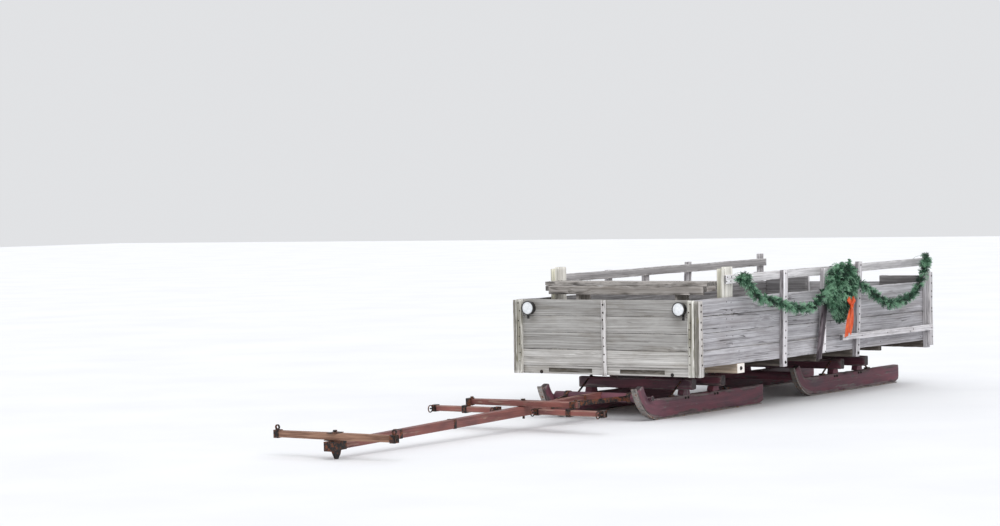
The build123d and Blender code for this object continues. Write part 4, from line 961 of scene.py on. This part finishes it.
# painted shade: each stake is darkened on its front-facing side, its rear side and the face against the wall
for low, high, w, d, z0, z1, tn, front_side_shade in ((1.554, 1.596, 0.090, 0.040, 0.392, BZ + 0.828, 3.4, 1.0), (3.073, 3.158, 0.080, 0.045, 0.396, BZ + 0.862, 1.5, 1.0), (4.700, 4.700, 0.080, 0.045, 0.394, BZ + 0.905, 0.5, 0.14)):
    upright(b, low, high, w, z0, z1, HW + 0.0003, HW + d, chip=0.006, warp=0.0016, grid=0.014, tone=tn, dirt=(0.3, front_side_shade, 0.0, 0.6))
    upright(b, low, high, w, z0, z1, -HW - d, -HW - 0.0003, chip=0.006, warp=0.0016, tone=tn, dirt=(0.0, front_side_shade, 0.3, 0.6))
upright(b, 2.300, 2.300, 0.080, 0.394, BZ + 0.830, -SY, -HW - 0.0003, chip=0.005, dirt=(0.0, 1.0, 0.3, 0.6))
upright(b, 2.349, 2.415, 0.076, BZ + 0.004, BZ + 0.821, HW + 0.0003, SY, chip=0.005, warp=0.0012, grid=0.014, tone=3.8, dirt=(0.3, 0.7, 0.0, 0.6))
for s in (1, -1):
    # painted shade on the outer boards' front-facing and rear sides and the face toward the stake
    out = (0.2, 0.40, 0.0, 0.6) if s > 0 else (0.0, 0.40, 0.2, 0.6)
    for z0, z1 in ((BZ - 0.051, BZ + 0.1055), (BZ + 0.1645, BZ + 0.708)):
        bslab(b, 4.702, 4.776, s * (SY + 0.0004), s * (SY + 0.040), z0, z1, axis=2, chip=0.004, tone=0.1, dirt=out)
b.make("stake_timbers", [M["light"]], "box", ("stakes",))
b = Build()
# painted shade on the leaning stake's face toward the wall, its front-facing side and its rear side
upright(b, 2.210, 2.356, 0.078, BZ - 0.047, BZ + 0.490, SY + 0.0006, SY + 0.027, chip=0.005, warp=0.0010, tone=0.5, dirt=(0.6, 0.5, 0.0, 0.5))
b.make("leaning_stake_timber", [M["brown"]], "box", ("leaning_stake",))
b = Build()
for s in (1, -1):
    # painted shade: the rail posts are darkened on their sides, the first post strongly on its front-facing side
    bslab(b, 0.532, 0.600, s * 0.873, s * (HW - WT - 0.0005), DECK, BZ + 0.874, chip=0.004, tone=0.7, dirt=(0.2, 1.0, 0.2, 0.3))
    bslab(b, 0.601, 0.735, s * 0.878, s * (HW - WT - 0.0005), DECK, BZ + 0.888, chip=0.004, tone=3.4, dirt=(0.2, 0.25, 0.2, 0.3))
b.make("rail_post_timbers", [M["pale"]], "box", ("rail_posts",))

# rails
b = Build()
for s in (1, -1):
    a = np.array([0, 0, 0.040])
    t = np.array([0, 0.0121, 0])
    y = s * (HW - 0.0125)
    # painted shade on the rails' inner faces and undersides
    board(b, [((xb(0.576), y, BZ + 0.775), a, t), ((xb(BOX_L - 0.004), y, BZ + 0.816), a, t)], chip=0.004, warp=0.0025, tone=(2.3, 0.80, 0.72, 0.55, 0.42, 0.30, 0.12, 0.0, -0.1), dirt=(0.5, 0, 0, 0.4) if s > 0 else (0, 0, 0.5, 0.4))
b.make("top_rail_boards", [M["rail"]], "box", ("top_rails",))
b = Build()
for s in (1, -1):
    bslab(b, 2.712, 4.780, s * (SY + 0.0003), s * (SY + 0.040), BZ + 0.106, BZ + 0.164, chip=0.006, warp=0.001, tone=(2.1, 1.6))
b.make("rub_rail_timbers", [M["light"]], "box", ("rub_rails",))

# seats
b = Build()
bslab(b, 0.352, 0.4955, -0.872, 0.872, BZ + 0.722, BZ + 0.760, chip=0.006, tone=-0.5)
bslab(b, 0.4965, 0.640, -0.872, 0.872, BZ + 0.722, BZ + 0.760, chip=0.006, tone=-0.6)
bslab(b, 0.352, 0.377, -0.834, 0.834, BZ + 0.640, BZ + 0.7215, chip=0.005, tone=0.3)
for s in (1, -1):
    # painted shade: the cleats under the seat boards are darkened on both sides and below
    bslab(b, 0.356, 0.520, s * 0.834, s * 0.872, BZ + 0.672, BZ + 0.7215, chip=0.004, tone=-0.2, dirt=(0.8, 0.0, 0.8, 0.5))
    bslab(b, 0.377, 0.600, s * 0.520, s * 0.545, DECK, BZ + 0.7215, axis=2, chip=0.004)
b.make("driver_seat_boards", [M["seat"]], "box", ("driver_seat",))
b = Build()
bt = DECK + 0.440
for s in (1, -1):
    bslab(b, 0.900, 4.500, s * 0.590, s * 0.7370, bt - 0.038, bt, step=0.05, chip=0.006)
    bslab(b, 0.900, 4.500, s * 0.7380, s * 0.885, bt - 0.038, bt, step=0.05, chip=0.006)
    for b0 in (0.960, 2.050, 3.150, 4.400):
        bslab(b, b0, b0 + 0.038, s * 0.610, s * 0.870, DECK, bt - 0.0385, axis=2, chip=0.004)
b.make("side_bench_boards", [M["seat"]], "box", ("side_benches",))

# rear end
DH = 0.420
RT = BZ + 0.672
b = Build()
for i in range(4):
    z0 = BZ + i * (PH + PG)
    z1 = RT if i == 3 else z0 + PH
    for s in (1, -1):
        # painted shade with some dirt: the rear panels' inner faces are darkened
        bslab(b, BOX_L - WT, BOX_L, s * (DH + 0.006), s * (HW - WT - 0.0006), z0, z1, chip=0.0045, tone=(0.6, 0.35, 0.5, 0.3)[i], dirt=(0, 0, 0.75, 0))
b.make("rear_panel_boards", [M["side"]], "box", ("rear_panels",))
b = Build()
for s in (1, -1):
    bslab(b, BOX_L + 0.0003, BOX_L + 0.038, s * (DH + 0.008), s * (DH + 0.086), 0.394 + 0.0, RT, chip=0.005)
b.make("door_post_timbers", [M["light"]], "box", ("door_posts",))
b = Build()
X0 = FX - BOX_L
for i in range(4):
    z0 = BZ + 0.008 + i * (PH + PG)
    z1 = z0 + PH - (0.012 if i == 3 else 0)
    slab(b, (X0 - 0.038, -DH + 0.003, z0), (X0 - 0.013, DH - 0.008, z1), chip=0.006)
for z in (BZ + 0.112, BZ + 0.418):
    slab(b, (X0 - 0.0128, -DH + 0.030, z), (X0 + 0.005, DH - 0.036, z + 0.080), chip=0.005)
board(b, [((X0 - 0.0039, -0.320, BZ + 0.1905), (0, 0.040, 0), (0.009, 0, 0)), ((X0 - 0.0039, 0.305, BZ + 0.4175), (0, 0.040, 0), (0.009, 0, 0))], chip=0.004)
b.make("tail_door_boards", [M["side"]], "tail_door", ("tail_door",))


# ------------------------------------------------------------------ bobs
RUN_Y, RUN_T, RUN_TOP, SHOE = 0.500, 0.064, 0.190, 0.012
NOSE_R, NOSE_W, NOSE_DEG = 0.430, 0.110, 68.0


def runner_stations(xk, y):
    x_nose, x_tail = xk + 1.165, xk - 1.190
    cx, cz = x_nose - NOSE_R, NOSE_R + SHOE
    ri = NOSE_R - NOSE_W
    a = math.radians(NOSE_DEG)
    a_top = math.acos((cz - RUN_TOP) / ri)
    out = []
    zm, zh = (SHOE + RUN_TOP) / 2, (RUN_TOP - SHOE) / 2
    for x in np.linspace(x_tail, cx, 24):
        cut = max(0.0, 0.030 - (x - x_tail)) * 0.75
        out.append(((x, y, zm + cut / 2), (0, 0, zh - cut / 2), (0, RUN_T / 2, 0)))
    for al in np.linspace(0, a, 22)[1:]:
        bot = np.array([cx + NOSE_R * math.sin(al), y, cz - NOSE_R * math.cos(al)])
        if al < a_top:
            top = np.array([cx + ri * math.sin(a_top) * al / a_top, y, RUN_TOP])
        else:
            top = np.array([cx + ri * math.sin(al), y, cz - ri * math.cos(al)])
        out.append(((bot + top) / 2, (top - bot) / 2, (0, RUN_T / 2, 0)))
    return out


XK_F, XK_R = xb(0.818), xb(3.800)
for prefix, xk, body in (("front_bob", XK_F, "front_bob"), ("rear_bob", XK_R, "box")):
    b = Build()
    for s in (1, -1):
        board(b, runner_stations(xk, s * RUN_Y), r=0.006, chip=0.009, warp=0.0, tone=0.5 + 0.2 * s, step=0.025)
    b.make(prefix + "_runner_timbers", [M["maroon"]], body, (prefix + "_runners",))
    b = Build()
    for dx in (0.270, -0.270):
        slab(b, (xk + dx - 0.045, -0.610, 0.238), (xk + dx + 0.045, 0.610, 0.338), r=0.006, chip=0.008)
    b.make(prefix + "_beam_timbers", [M["maroon"]], body, (prefix + "_beams",))
    carve(prefix + "_knees", prefix + "_knee_blocks", [M["maroon"]], body, "z", 0.004, 8)
    carve(prefix + "_king_board", prefix + "_king_plank", [M["maroon"]], body, "x", 0.004, 9)
carve("rear_nose_bar", "rear_nose_roller", [M["maroon"]], "box", "y", 0.003, 10)

# ------------------------------------------------------------------ pole group
carve("pole_roller", "pole_roller_bar", [M["maroon"]], "pole", "y", 0.003, 11)
carve("pole", "pole_timber", [M["pole"]], "pole", "x", 0.009, 12, segments=3)
carve("evener", "evener_timber", [M["pole"]], "evener", "y", 0.006, 13)
carve("singletree_left", "singletree_left_bar", [M["pole"]], "singletree_left", "y", 0.008, 14)
carve("singletree_right", "singletree_right_bar", [M["pole"]], "singletree_right", "y", 0.008, 15)
carve("neck_yoke", "neck_yoke_bar", [M["yoke"]], "neck_yoke", "y", 0.010, 16, segments=3)


def repaint(node, mat):
    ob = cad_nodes[node]
    for i in range(max(1, len(ob.material_slots))):
        if not ob.material_slots:
            ob.data.materials.append(mat)
        ob.material_slots[i].material = mat


for n in ("hinge_pintles", "door_straps", "front_bob_stays", "front_bob_swivel_plate", "rear_bob_stays", "kingpins", "pole_irons", "pole_tip_iron", "singletree_left_irons", "singletree_right_irons", "neck_yoke_irons"):
    repaint(n, M["iron"])
for n in ("front_bob_shoes", "rear_bob_shoes"):
    repaint(n, M["steel"])
repaint("headlamps", M["shell"])
repaint("headlamp_lenses", M["lens"])


# ------------------------------------------------------------------ ribbon
def ribbon():
    """A satin ribbon: a two-loop bow tied into the bunch, with a hanging tail."""
    yc = 1.186
    # stations: distance back, y offset, height, width vector, width
    st = []

    def add(back, dy, z, wb, wy, wz, w):
        st.append((xb(back), yc + dy, BZ + z, -wb, wy, wz, w))
    # first tail, from its cut end up to the knot
    add(2.474, 0.004, 0.158, 1.0, 0.05, 0.0, 0.067)
    add(2.485, 0.007, 0.213, 1.0, 0.08, 0.0, 0.067)
    add(2.500, 0.008, 0.263, 1.0, 0.08, 0.0, 0.067)
    add(2.520, 0.008, 0.315, 1.0, 0.04, 0.0, 0.067)
    add(2.544, 0.006, 0.358, 1.0, 0.00, 0.0, 0.064)
    add(2.562, 0.004, 0.395, 1.0, 0.00, 0.0, 0.058)
    add(2.574, 0.006, 0.428, 1.0, 0.00, 0.0, 0.048)
    add(2.582, 0.008, 0.452, 1.0, 0.00, 0.3, 0.034)
    # first loop, towards the front
    add(2.566, 0.012, 0.473, 0.7, 0.00, 0.7, 0.042)
    add(2.545, 0.014, 0.495, 0.7, 0.00, 0.7, 0.052)
    add(2.524, 0.014, 0.514, 0.7, 0.00, 0.7, 0.056)
    add(2.512, 0.011, 0.523, 0.7, 0.00, 0.7, 0.057)
    add(2.517, 0.006, 0.519, 0.7, 0.00, 0.7, 0.056)
    add(2.538, 0.002, 0.499, 0.7, 0.00, 0.7, 0.050)
    add(2.564, 0.002, 0.473, 0.7, 0.00, 0.7, 0.042)
    add(2.583, 0.004, 0.453, 0.0, 0.00, 1.0, 0.034)
    # second loop, towards the back
    add(2.602, 0.004, 0.472, -0.7, 0.00, 0.7, 0.042)
    add(2.622, 0.004, 0.496, -0.7, 0.00, 0.7, 0.052)
    add(2.642, 0.006, 0.517, -0.7, 0.00, 0.7, 0.056)
    add(2.649, 0.011, 0.523, -0.7, 0.00, 0.7, 0.057)
    add(2.638, 0.015, 0.511, -0.7, 0.00, 0.7, 0.054)
    add(2.616, 0.014, 0.489, -0.7, 0.00, 0.7, 0.048)
    add(2.597, 0.010, 0.467, -0.8, 0.00, 0.6, 0.040)
    add(2.586, 0.010, 0.447, -1.0, 0.00, 0.2, 0.036)
    # second tail
    add(2.588, 0.012, 0.421, -1.0, 0.00, 0.0, 0.050)
    add(2.588, 0.013, 0.391, -1.0, -0.04, 0.0, 0.058)
    add(2.587, 0.013, 0.353, -1.0, -0.06, 0.0, 0.064)
    add(2.582, 0.012, 0.313, -1.0, -0.06, 0.0, 0.067)
    add(2.568, 0.011, 0.263, -1.0, -0.08, 0.0, 0.067)
    add(2.552, 0.009, 0.222, -1.0, -0.06, 0.0, 0.067)
    add(2.540, 0.007, 0.184, -1.0, -0.02, 0.0, 0.067)
    S = np.array(st)
    # smooth the stations
    k = len(S)
    fine = np.linspace(0, k - 1, (k - 1) * 7 + 1)
    out = []
    for u in fine:
        i = min(int(u), k - 2)
        f = u - i
        p0, p1, p2, p3 = S[max(i - 1, 0)], S[i], S[i + 1], S[min(i + 2, k - 1)]
        out.append(0.5 * ((2 * p1) + (-p0 + p2) * f + (2 * p0 - 5 * p1 + 4 * p2 - p3) * f ** 2 + (-p0 + 3 * p1 - 3 * p2 + p3) * f ** 3))
    out = np.array(out)
    P, W, wd = out[:, :3], unit(out[:, 3:6]), out[:, 6]
    T = unit(np.gradient(P, axis=0))
    W = unit(W - T * (W * T).sum(1)[:, None])
    N = np.cross(T, W)
    cols = 11
    s = np.r_[0, np.cumsum(np.linalg.norm(np.diff(P, axis=0), axis=1))]
    v, gc, edge = [], [], []
    for i in range(len(P)):
        for j in range(cols):
            q = j / (cols - 1) * 2 - 1
            pleat = 0.0035 * math.sin(q * 6.5 + s[i] * 16) * max(0.0, 0.070 - wd[i]) / 0.030
            curl = 0.004 * (1 - q * q) * math.sin(s[i] * 23 + 0.7)
            skew = T[i] * q * 0.012 * (math.exp(-s[i] / 0.02) - math.exp(-(s[-1] - s[i]) / 0.02))
            v.append(P[i] + W[i] * q * wd[i] / 2 + N[i] * (pleat + curl) + skew)
            gc.append((s[i], q * 0.033, 0.0))
            edge.append(1.0 if abs(q) > 0.97 else 0.0)
    v = np.array(v)
    v[:, 1] = np.maximum(v[:, 1], yc - 0.002)
    faces = [(i * cols + j, i * cols + j + 1, (i + 1) * cols + j + 1, (i + 1) * cols + j) for i in range(len(P) - 1) for j in range(cols - 1)]
    b = Build()
    b.add(v, faces, gc, edge, 0.0, 0.5)
    ob = b.make("ribbon_cloth", [M["ribbon"]], "box", ("ribbon",))
    print("ribbon length", round(float(s[-1]), 3))
    # the knot
    b = Build()
    ring = [(xb(2.583) + 0.020 * math.cos(a), yc + 0.014, BZ + 0.452 + 0.022 * math.sin(a)) for a in np.linspace(0, 2 * math.pi, 25)[:-1]]
    tube(b, ring, 0.0085, 10, closed=True)
    b.make("ribbon_knot", [M["ribbon"]], "box")


ribbon()


# ------------------------------------------------------------------ hardware
def dome(b, p, n, r=0.006, h=0.0025, sides=10, mat=0, flat=False):
    """A nail or bolt head on a face, with its rim sunk a little."""
    p, n = np.array(p, float), unit(np.array(n, float))
    ref = np.array([0, 0, 1.0]) if abs(n[2]) < 0.8 else np.array([1.0, 0, 0])
    e1 = unit(np.cross(n, ref))
    e2 = np.cross(n, e1)
    rows = [(r, -0.001), (r, h * 0.35), (r * 0.78, h * 0.85), (r * 0.4, h)] if not flat else [(r, -0.001), (r, h), (r * 0.86, h * 1.12)]
    v = []
    for rr, hh in rows:
        for j in range(sides):
            a = j / sides * 2 * math.pi
            v.append(p + e1 * rr * math.cos(a) + e2 * rr * math.sin(a) + n * hh)
    f = []
    for i in range(len(rows) - 1):
        for j in range(sides):
            j2 = (j + 1) % sides
            f.append((i * sides + j, i * sides + j2, (i + 1) * sides + j2, (i + 1) * sides + j))
    f.append(tuple((len(rows) - 1) * sides + j for j in range(sides)))
    b.add(v, f, v, 0.0, 0.0, 0.5, mat)


def plank_rows(top=True):
    """Heights of the two nails in each wall plank."""
    out = []
    for i in range(4):
        z0 = BZ + i * (PH + PG)
        out += [z0 + 0.038, z0 + 0.112]
    return out


def jitter(a, b_, amp, seed):
    return float(vnoise(a * 7.3 + 0.5, b_ * 5.1 + 0.5, seed=seed)) * amp


nails = Build()
rows = plank_rows()
for s in (1, -1):
    for i, dz in enumerate((0.037, 0.298, 0.334, 0.450, 0.509, 0.593, 0.668)):
        dome(nails, (xb(4.748 + jitter(i, s, 0.004, 31)), s * (SY + 0.040), BZ + dz), (0, s, 0), 0.0082, 0.005)
    for low, high, d, z0, z1 in ((1.559, 1.601, 0.040, 0.392, BZ + 0.828), (3.073, 3.158, 0.045, 0.396, BZ + 0.862)):
        for i, z in enumerate(rows + [0.432, BZ + 0.800 if low < 2 else BZ + 0.825]):
            f = (z - z0) / (z1 - z0)
            back = low + (high - low) * f + 0.040 + jitter(i, low, 0.016, 1)
            dome(nails, (xb(back), s * (HW + d), z + jitter(i, low + 3, 0.012, 2)), (0, s, 0), 0.0092)
    # corner posts: along the outer face and the front
    for i, z in enumerate(rows):
        dome(nails, (FX - 0.034 + jitter(i, 2, 0.010, 3), s * SY, z + jitter(i, 9, 0.014, 4)), (0, s, 0), 0.0100)
        dome(nails, (FX + 0.035, s * (0.915 + jitter(i, 5, 0.012, 5)), z + jitter(i, 7, 0.010, 6)), (1, 0, 0), 0.0064)
for i, z in enumerate(rows):
    dome(nails, (FX + 0.020, jitter(i, 4, 0.008, 7), z + jitter(i, 8, 0.014, 8)), (1, 0, 0), 0.0090)
for i, z in enumerate(rows):
    if i in (0, 1, 3, 6):
        dome(nails, (xb(2.349 + 0.066 * (z - BZ - 0.004) / 0.817 + 0.052 + jitter(i, 3, 0.01, 9)), SY, z - 0.022), (0, 1, 0), 0.0068)
    if i in (5, 6):
        dome(nails, (xb(2.402 - 0.014 * (6 - i)), SY + 0.027, BZ + 0.462 - 0.034 * (6 - i)), (0, 1, 0), 0.0068)
    dome(nails, (xb(2.340), -SY, z), (0, -1, 0), 0.0068)
# rails on the stakes and posts
for s in (1, -1):
    for back in (0.590, 0.665, 1.617, 3.190):
        z = BZ + 0.775 + (back - 0.576) / 4.22 * 0.041
        for dz in (-0.018, 0.020):
            if back < 0.7:
                dome(nails, (xb(back + dz * 0.4), s * (HW - 0.0004), z + dz), (0, s, 0), 0.0068)
    for back in (2.760, 3.125, 3.700, 4.300, 4.742):
        dome(nails, (xb(back), s * (SY + 0.040), BZ + 0.135 + jitter(back, 1, 0.008, 12)), (0, s, 0), 0.0075)
    # side planks into the cross timbers
    for back in (0.080, 0.790, 2.338, 3.710, 4.640):
        for i, z in enumerate((BZ + 0.040, BZ + 0.115)):
            dome(nails, (xb(back + jitter(i, back, 0.010, 13)), s * HW, z), (0, s, 0), 0.005)
    # posts inside the wall, nailed through the planks
    for i, z in enumerate(rows[2:]):
        dome(nails, (xb(0.566 + jitter(i, 1, 0.008, 14)), s * HW, z), (0, s, 0), 0.005)
        dome(nails, (xb(0.668 + jitter(i, 2, 0.016, 15)), s * HW, z - 0.006), (0, s, 0), 0.005)
    # seat boards
    for back in (0.400, 0.450, 0.560, 0.610):
        dome(nails, (xb(back), s * 0.5325, BZ + 0.760), (0, 0, 1), 0.005)
        dome(nails, (xb(back), s * 0.853, BZ + 0.760), (0, 0, 1), 0.005)
    for b0 in (0.960, 2.050, 3.150, 4.400):
        for y in (0.625, 0.700, 0.775, 0.850):
            dome(nails, (xb(b0 + 0.019), s * y, bt), (0, 0, 1), 0.005)
    # rear posts
    for i, z in enumerate(rows):
        dome(nails, (FX - BOX_L - 0.038, s * (DH + 0.047 + jitter(i, 1, 0.012, 16)), z), (-1, 0, 0), 0.0065)
# deck boards over the cross timbers
for k, back in enumerate((0.085, 0.818, 1.618, 2.338, 3.113, 3.800, 4.740)):
    for i in range(9):
        y0 = -(HW - WT - 0.001) + i * (dw + 0.004)
        for dy in (0.045, dw - 0.045):
            dome(nails, (xb(back + jitter(i, k, 0.008, 17)), y0 + dy, DECK), (0, 0, 1), 0.0045, 0.0012, 8)
nails.make("box_nail_heads", [M["nail"]], "box")

dn = Build()
for z in (BZ + 0.130, BZ + 0.510):
    for y in (0.020, 0.120, 0.220, 0.320):
        dome(dn, (X0 - 0.044, y, z), (-1, 0, 0), 0.007, 0.003, flat=True)
for z in (BZ + 0.135, BZ + 0.170, BZ + 0.440, BZ + 0.475):
    for y in (-0.350, -0.190, -0.020, 0.150, 0.320):
        dome(dn, (X0 + 0.005, y, z), (1, 0, 0), 0.005)
dn.make("door_bolt_heads", [M["nail"]], "tail_door")


def bolt(b, p, n, r=0.011):
    """A square-headed bolt on a round washer."""
    p, n = np.array(p, float), unit(np.array(n, float))
    dome(b, p, n, r * 1.9, 0.0025, 14, flat=True)
    ref = np.array([0, 0, 1.0]) if abs(n[2]) < 0.8 else np.array([1.0, 0, 0])
    e1 = unit(np.cross(n, ref))
    e2 = np.cross(n, e1)
    c, sn = math.cos(0.4 + p[0] * 9), math.sin(0.4 + p[0] * 9)
    f1, f2 = e1 * c + e2 * sn, e2 * c - e1 * sn
    v = []
    for h, k in ((0.001, 1.0), (0.0095, 1.0), (0.012, 0.86)):
        for q1, q2 in ((-1, -1), (1, -1), (1, 1), (-1, 1)):
            v.append(p + f1 * q1 * r * k + f2 * q2 * r * k + n * h)
    f = []
    for i in range(2):
        for j in range(4):
            j2 = (j + 1) % 4
            f.append((i * 4 + j, i * 4 + j2, i * 4 + 4 + j2, i * 4 + 4 + j))
    f.append((8, 9, 10, 11))
    b.add(v, f, v, 0.0, 0.0, 0.5, 0)


bx = Build()
for s in (1, -1):
    bolt(bx, (xb(0.818), s * (HW), 0.4265), (0, s, 0), 0.010)
    for low, d in ((1.601, 0.040), (3.113, 0.045)):
        bolt(bx, (xb(low), s * (HW + d), 0.4325), (0, s, 0), 0.008)
    bolt(bx, (FX - 0.010, s * 0.700, 0.410), (1, 0, 0), 0.009)
for dx in (0.270, -0.270):
    for s in (1, -1):
        bolt(bx, (XK_R + dx, s * RUN_Y, 0.338), (0, 0, 1), 0.010)
        for q in (-0.025, 0.025):
            bolt(bx, (XK_R + dx + q, s * (RUN_Y + RUN_T / 2), 0.165), (0, s, 0), 0.007)
bx.make("box_bolts", [M["nail"]], "box")
bf = Build()
for dx in (0.270, -0.270):
    for s in (1, -1):
        bolt(bf, (XK_F + dx, s * RUN_Y, 0.338), (0, 0, 1), 0.010)
        for q in (-0.025, 0.025):
            bolt(bf, (XK_F + dx + q, s * (RUN_Y + RUN_T / 2), 0.165), (0, s, 0), 0.007)
bf.make("front_bob_bolts", [M["nail"]], "front_bob")


# ------------------------------------------------------------------ headlamps
def headlamps():
    b = Build()
    for s in (1, -1):
        y, z = s * 0.806, BZ + 0.530
        a = np.linspace(0, 2 * math.pi, 65)[:-1]
        # bright rim round the glass
        ring = [(FX + 0.0515, y + 0.0615 * math.cos(t), z + 0.0615 * math.sin(t)) for t in a]
        tube(b, ring, 0.0034, 10, closed=True, mat=0)
        # foot and its bolt below the shell
        slab(b, (FX + 0.0005, y + s * 0.012, z - 0.100), (FX + 0.005, y + s * 0.036, z - 0.046), r=0.001, chip=0.0, warp=0.0, rough=0.0, mat=1)
        dome(b, (FX + 0.005, y + s * 0.024, z - 0.086), (1, 0, 0), 0.007, 0.004, 10, mat=1)
    b.make("headlamp_rims", [M["rim"], M["shell"]], "box")
    # domed, fluted glass over the lens
    b = Build()
    for s in (1, -1):
        y, z = s * 0.806, BZ + 0.530
        rows, cols = 14, 56
        v = [(FX + 0.0579, y, z), (FX + 0.0488, y, z)]
        for i in range(1, rows + 1):
            rr = 0.0575 * i / rows
            for j in range(cols):
                t = j / cols * 2 * math.pi
                dy, dz = rr * math.cos(t), rr * math.sin(t)
                h = 0.0080 * (1 - (rr / 0.0575) ** 2) + 0.0006 * math.cos(dy * 2 * math.pi / 0.0085) * (1 if rr < 0.054 else 0)
                v.append((FX + 0.0493 + h, y + dy, z + dz))
        last = (rows - 1) * cols
        f = [(0, 2 + (j + 1) % cols, 2 + j) for j in range(cols)]
        f += [(2 + i * cols + j, 2 + i * cols + (j + 1) % cols, 2 + (i + 1) * cols + (j + 1) % cols, 2 + (i + 1) * cols + j) for i in range(rows - 1) for j in range(cols)]
        f += [(1, 2 + last + j, 2 + last + (j + 1) % cols) for j in range(cols)]
        b.add(v, [q[::-1] for q in f], v, 0.0, 0.0, 0.5, 0)
    b.make("headlamp_glass", [M["lens"]], "box")


headlamps()

# ------------------------------------------------------------------ irons of the pole group
pitch = math.radians(1.436)
RX, RZ = 0.56716, 0.205


def pf(x, y, z):
    """A point of the pole's own frame in the row frame."""
    return np.array([RX + x * math.cos(pitch) + z * math.sin(pitch), y, RZ - x * math.sin(pitch) + z * math.cos(pitch)])


b = Build()
for s in (1, -1):
    # a ring hangs in each eye at the yoke's ends
    c = pf(3.865, s * 0.578, 0.1015)
    ring = []
    for t in np.linspace(0, 2 * math.pi, 33)[:-1]:
        ring.append(c + np.array([0.034 * math.cos(t) * 0.35, 0.034 * math.cos(t) * 0.94, 0.034 * math.sin(t)]) + np.array([0.0, 0.0, -0.0275]))
    ring = np.array(ring)
    tube(b, ring, 0.0055, 8, closed=True)
b.make("yoke_rings", [M["iron"]], "neck_yoke")
for side, s in (("left", 1), ("right", -1)):
    b = Build()
    for e in (1, -1):
        c = pf(1.230 + 0.092 + 0.056, s * 0.540 + e * 0.331, 0)
        ring = []
        zc = (c[2])
        for t in np.linspace(0, 2 * math.pi, 29)[:-1]:
            p = pf(1.230 + 0.092 + 0.056 + 0.0245 + 0.030 * math.cos(t), s * 0.540 + e * 0.331, 0.0)
            ring.append((p[0], p[1], 0.178255 - (p[0] - 1.944922) * math.tan(pitch) + 0.030 * math.sin(t)))
        tube(b, ring, 0.0050, 8, closed=True)
    b.make("singletree_%s_rings" % side, [M["iron"]], "singletree_" + side)
# strap irons round the pole
b = Build()
for x in (0.30, 2.30, 3.05):
    h = (0.086 + (0.064 - 0.086) * x / 3.96) / 2
    w = (0.084 + (0.062 - 0.084) * x / 3.96) / 2
    c = pf(x, 0, 0)
    ring = []
    for qa, qb in ((-1, -1), (1, -1), (1, 1), (-1, 1)):
        ring.append((qa, qb))
    outer, inner = [], []
    v, f = [], []
    for k, (dx, ex) in enumerate(((-0.016, 0.0), (-0.016, 0.0028), (0.016, 0.0028), (0.016, 0.0))):
        for qa, qb in ring:
            v.append(pf(x + dx, qa * (w + 0.0004 + ex), qb * (h + 0.0004 + ex)))
    for k in range(4):
        k2 = (k + 1) % 4
        for j in range(4):
            j2 = (j + 1) % 4
            f.append((k * 4 + j, k * 4 + j2, k2 * 4 + j2, k2 * 4 + j))
    b.add(v, f, v)
b.make("pole_bands", [M["iron"]], "pole", smooth=False)

# green wire ties that hold the garland to the rail and stakes
b = Build()
for back, z, y0 in ((0.742, 0.790, 0.9375), (1.626, 0.478, 0.9700), (3.160, 0.602, 0.9725), (4.560, 0.838, 0.9375)):
    pts = []
    for t in np.linspace(0, 2 * math.pi, 41)[:-1]:
        yy = (y0 + GY) / 2 + ((GY - y0) / 2 + 0.020) * math.cos(t)
        zz = BZ + z + 0.044 * math.sin(t)
        pts.append((xb(back) + 0.004 * math.sin(2 * t), yy, zz))
    tube(b, pts, 0.0014, 6, closed=True)
b.make("garland_ties", [M["green"]], "box")


# ------------------------------------------------------------------ floor and light
def stage():
    me = bpy.data.meshes.new("floor")
    me.from_pydata([(-90, -90, 0), (90, -90, 0), (90, 90, 0), (-90, 90, 0)], [], [(0, 1, 2, 3)])
    floor = bpy.data.objects.new("floor", me)
    bpy.context.scene.collection.objects.link(floor)
    t = Tree("floor")
    n = t.noise(t.obj(), 0.6, 3.0, 0.5)
    me.materials.append(t.finish(t.ramp(n, [(0.3, lin(232, 233, 236)), (0.7, lin(238, 239, 241))]), 0.9))
    world = bpy.data.worlds.new("soft_light")
    bpy.context.scene.world = world
    world.use_nodes = True
    bg = world.node_tree.nodes["Background"]
    bg.inputs[0].default_value = (0.90, 0.91, 0.93, 1.0)
    bg.inputs[1].default_value = 0.84
    for name, angle, strength, rot in (("key", 50, 1.55, (42, 0, 140)), ("fill", 80, 0.30, (55, 0, -60))):
        data = bpy.data.lights.new(name, "SUN")
        data.energy, data.angle = strength, math.radians(angle)
        ob = bpy.data.objects.new(name, data)
        ob.rotation_euler = [math.radians(v) for v in rot]
        bpy.context.scene.collection.objects.link(ob)


stage()
bpy.context.scene.view_settings.view_transform = "Standard"
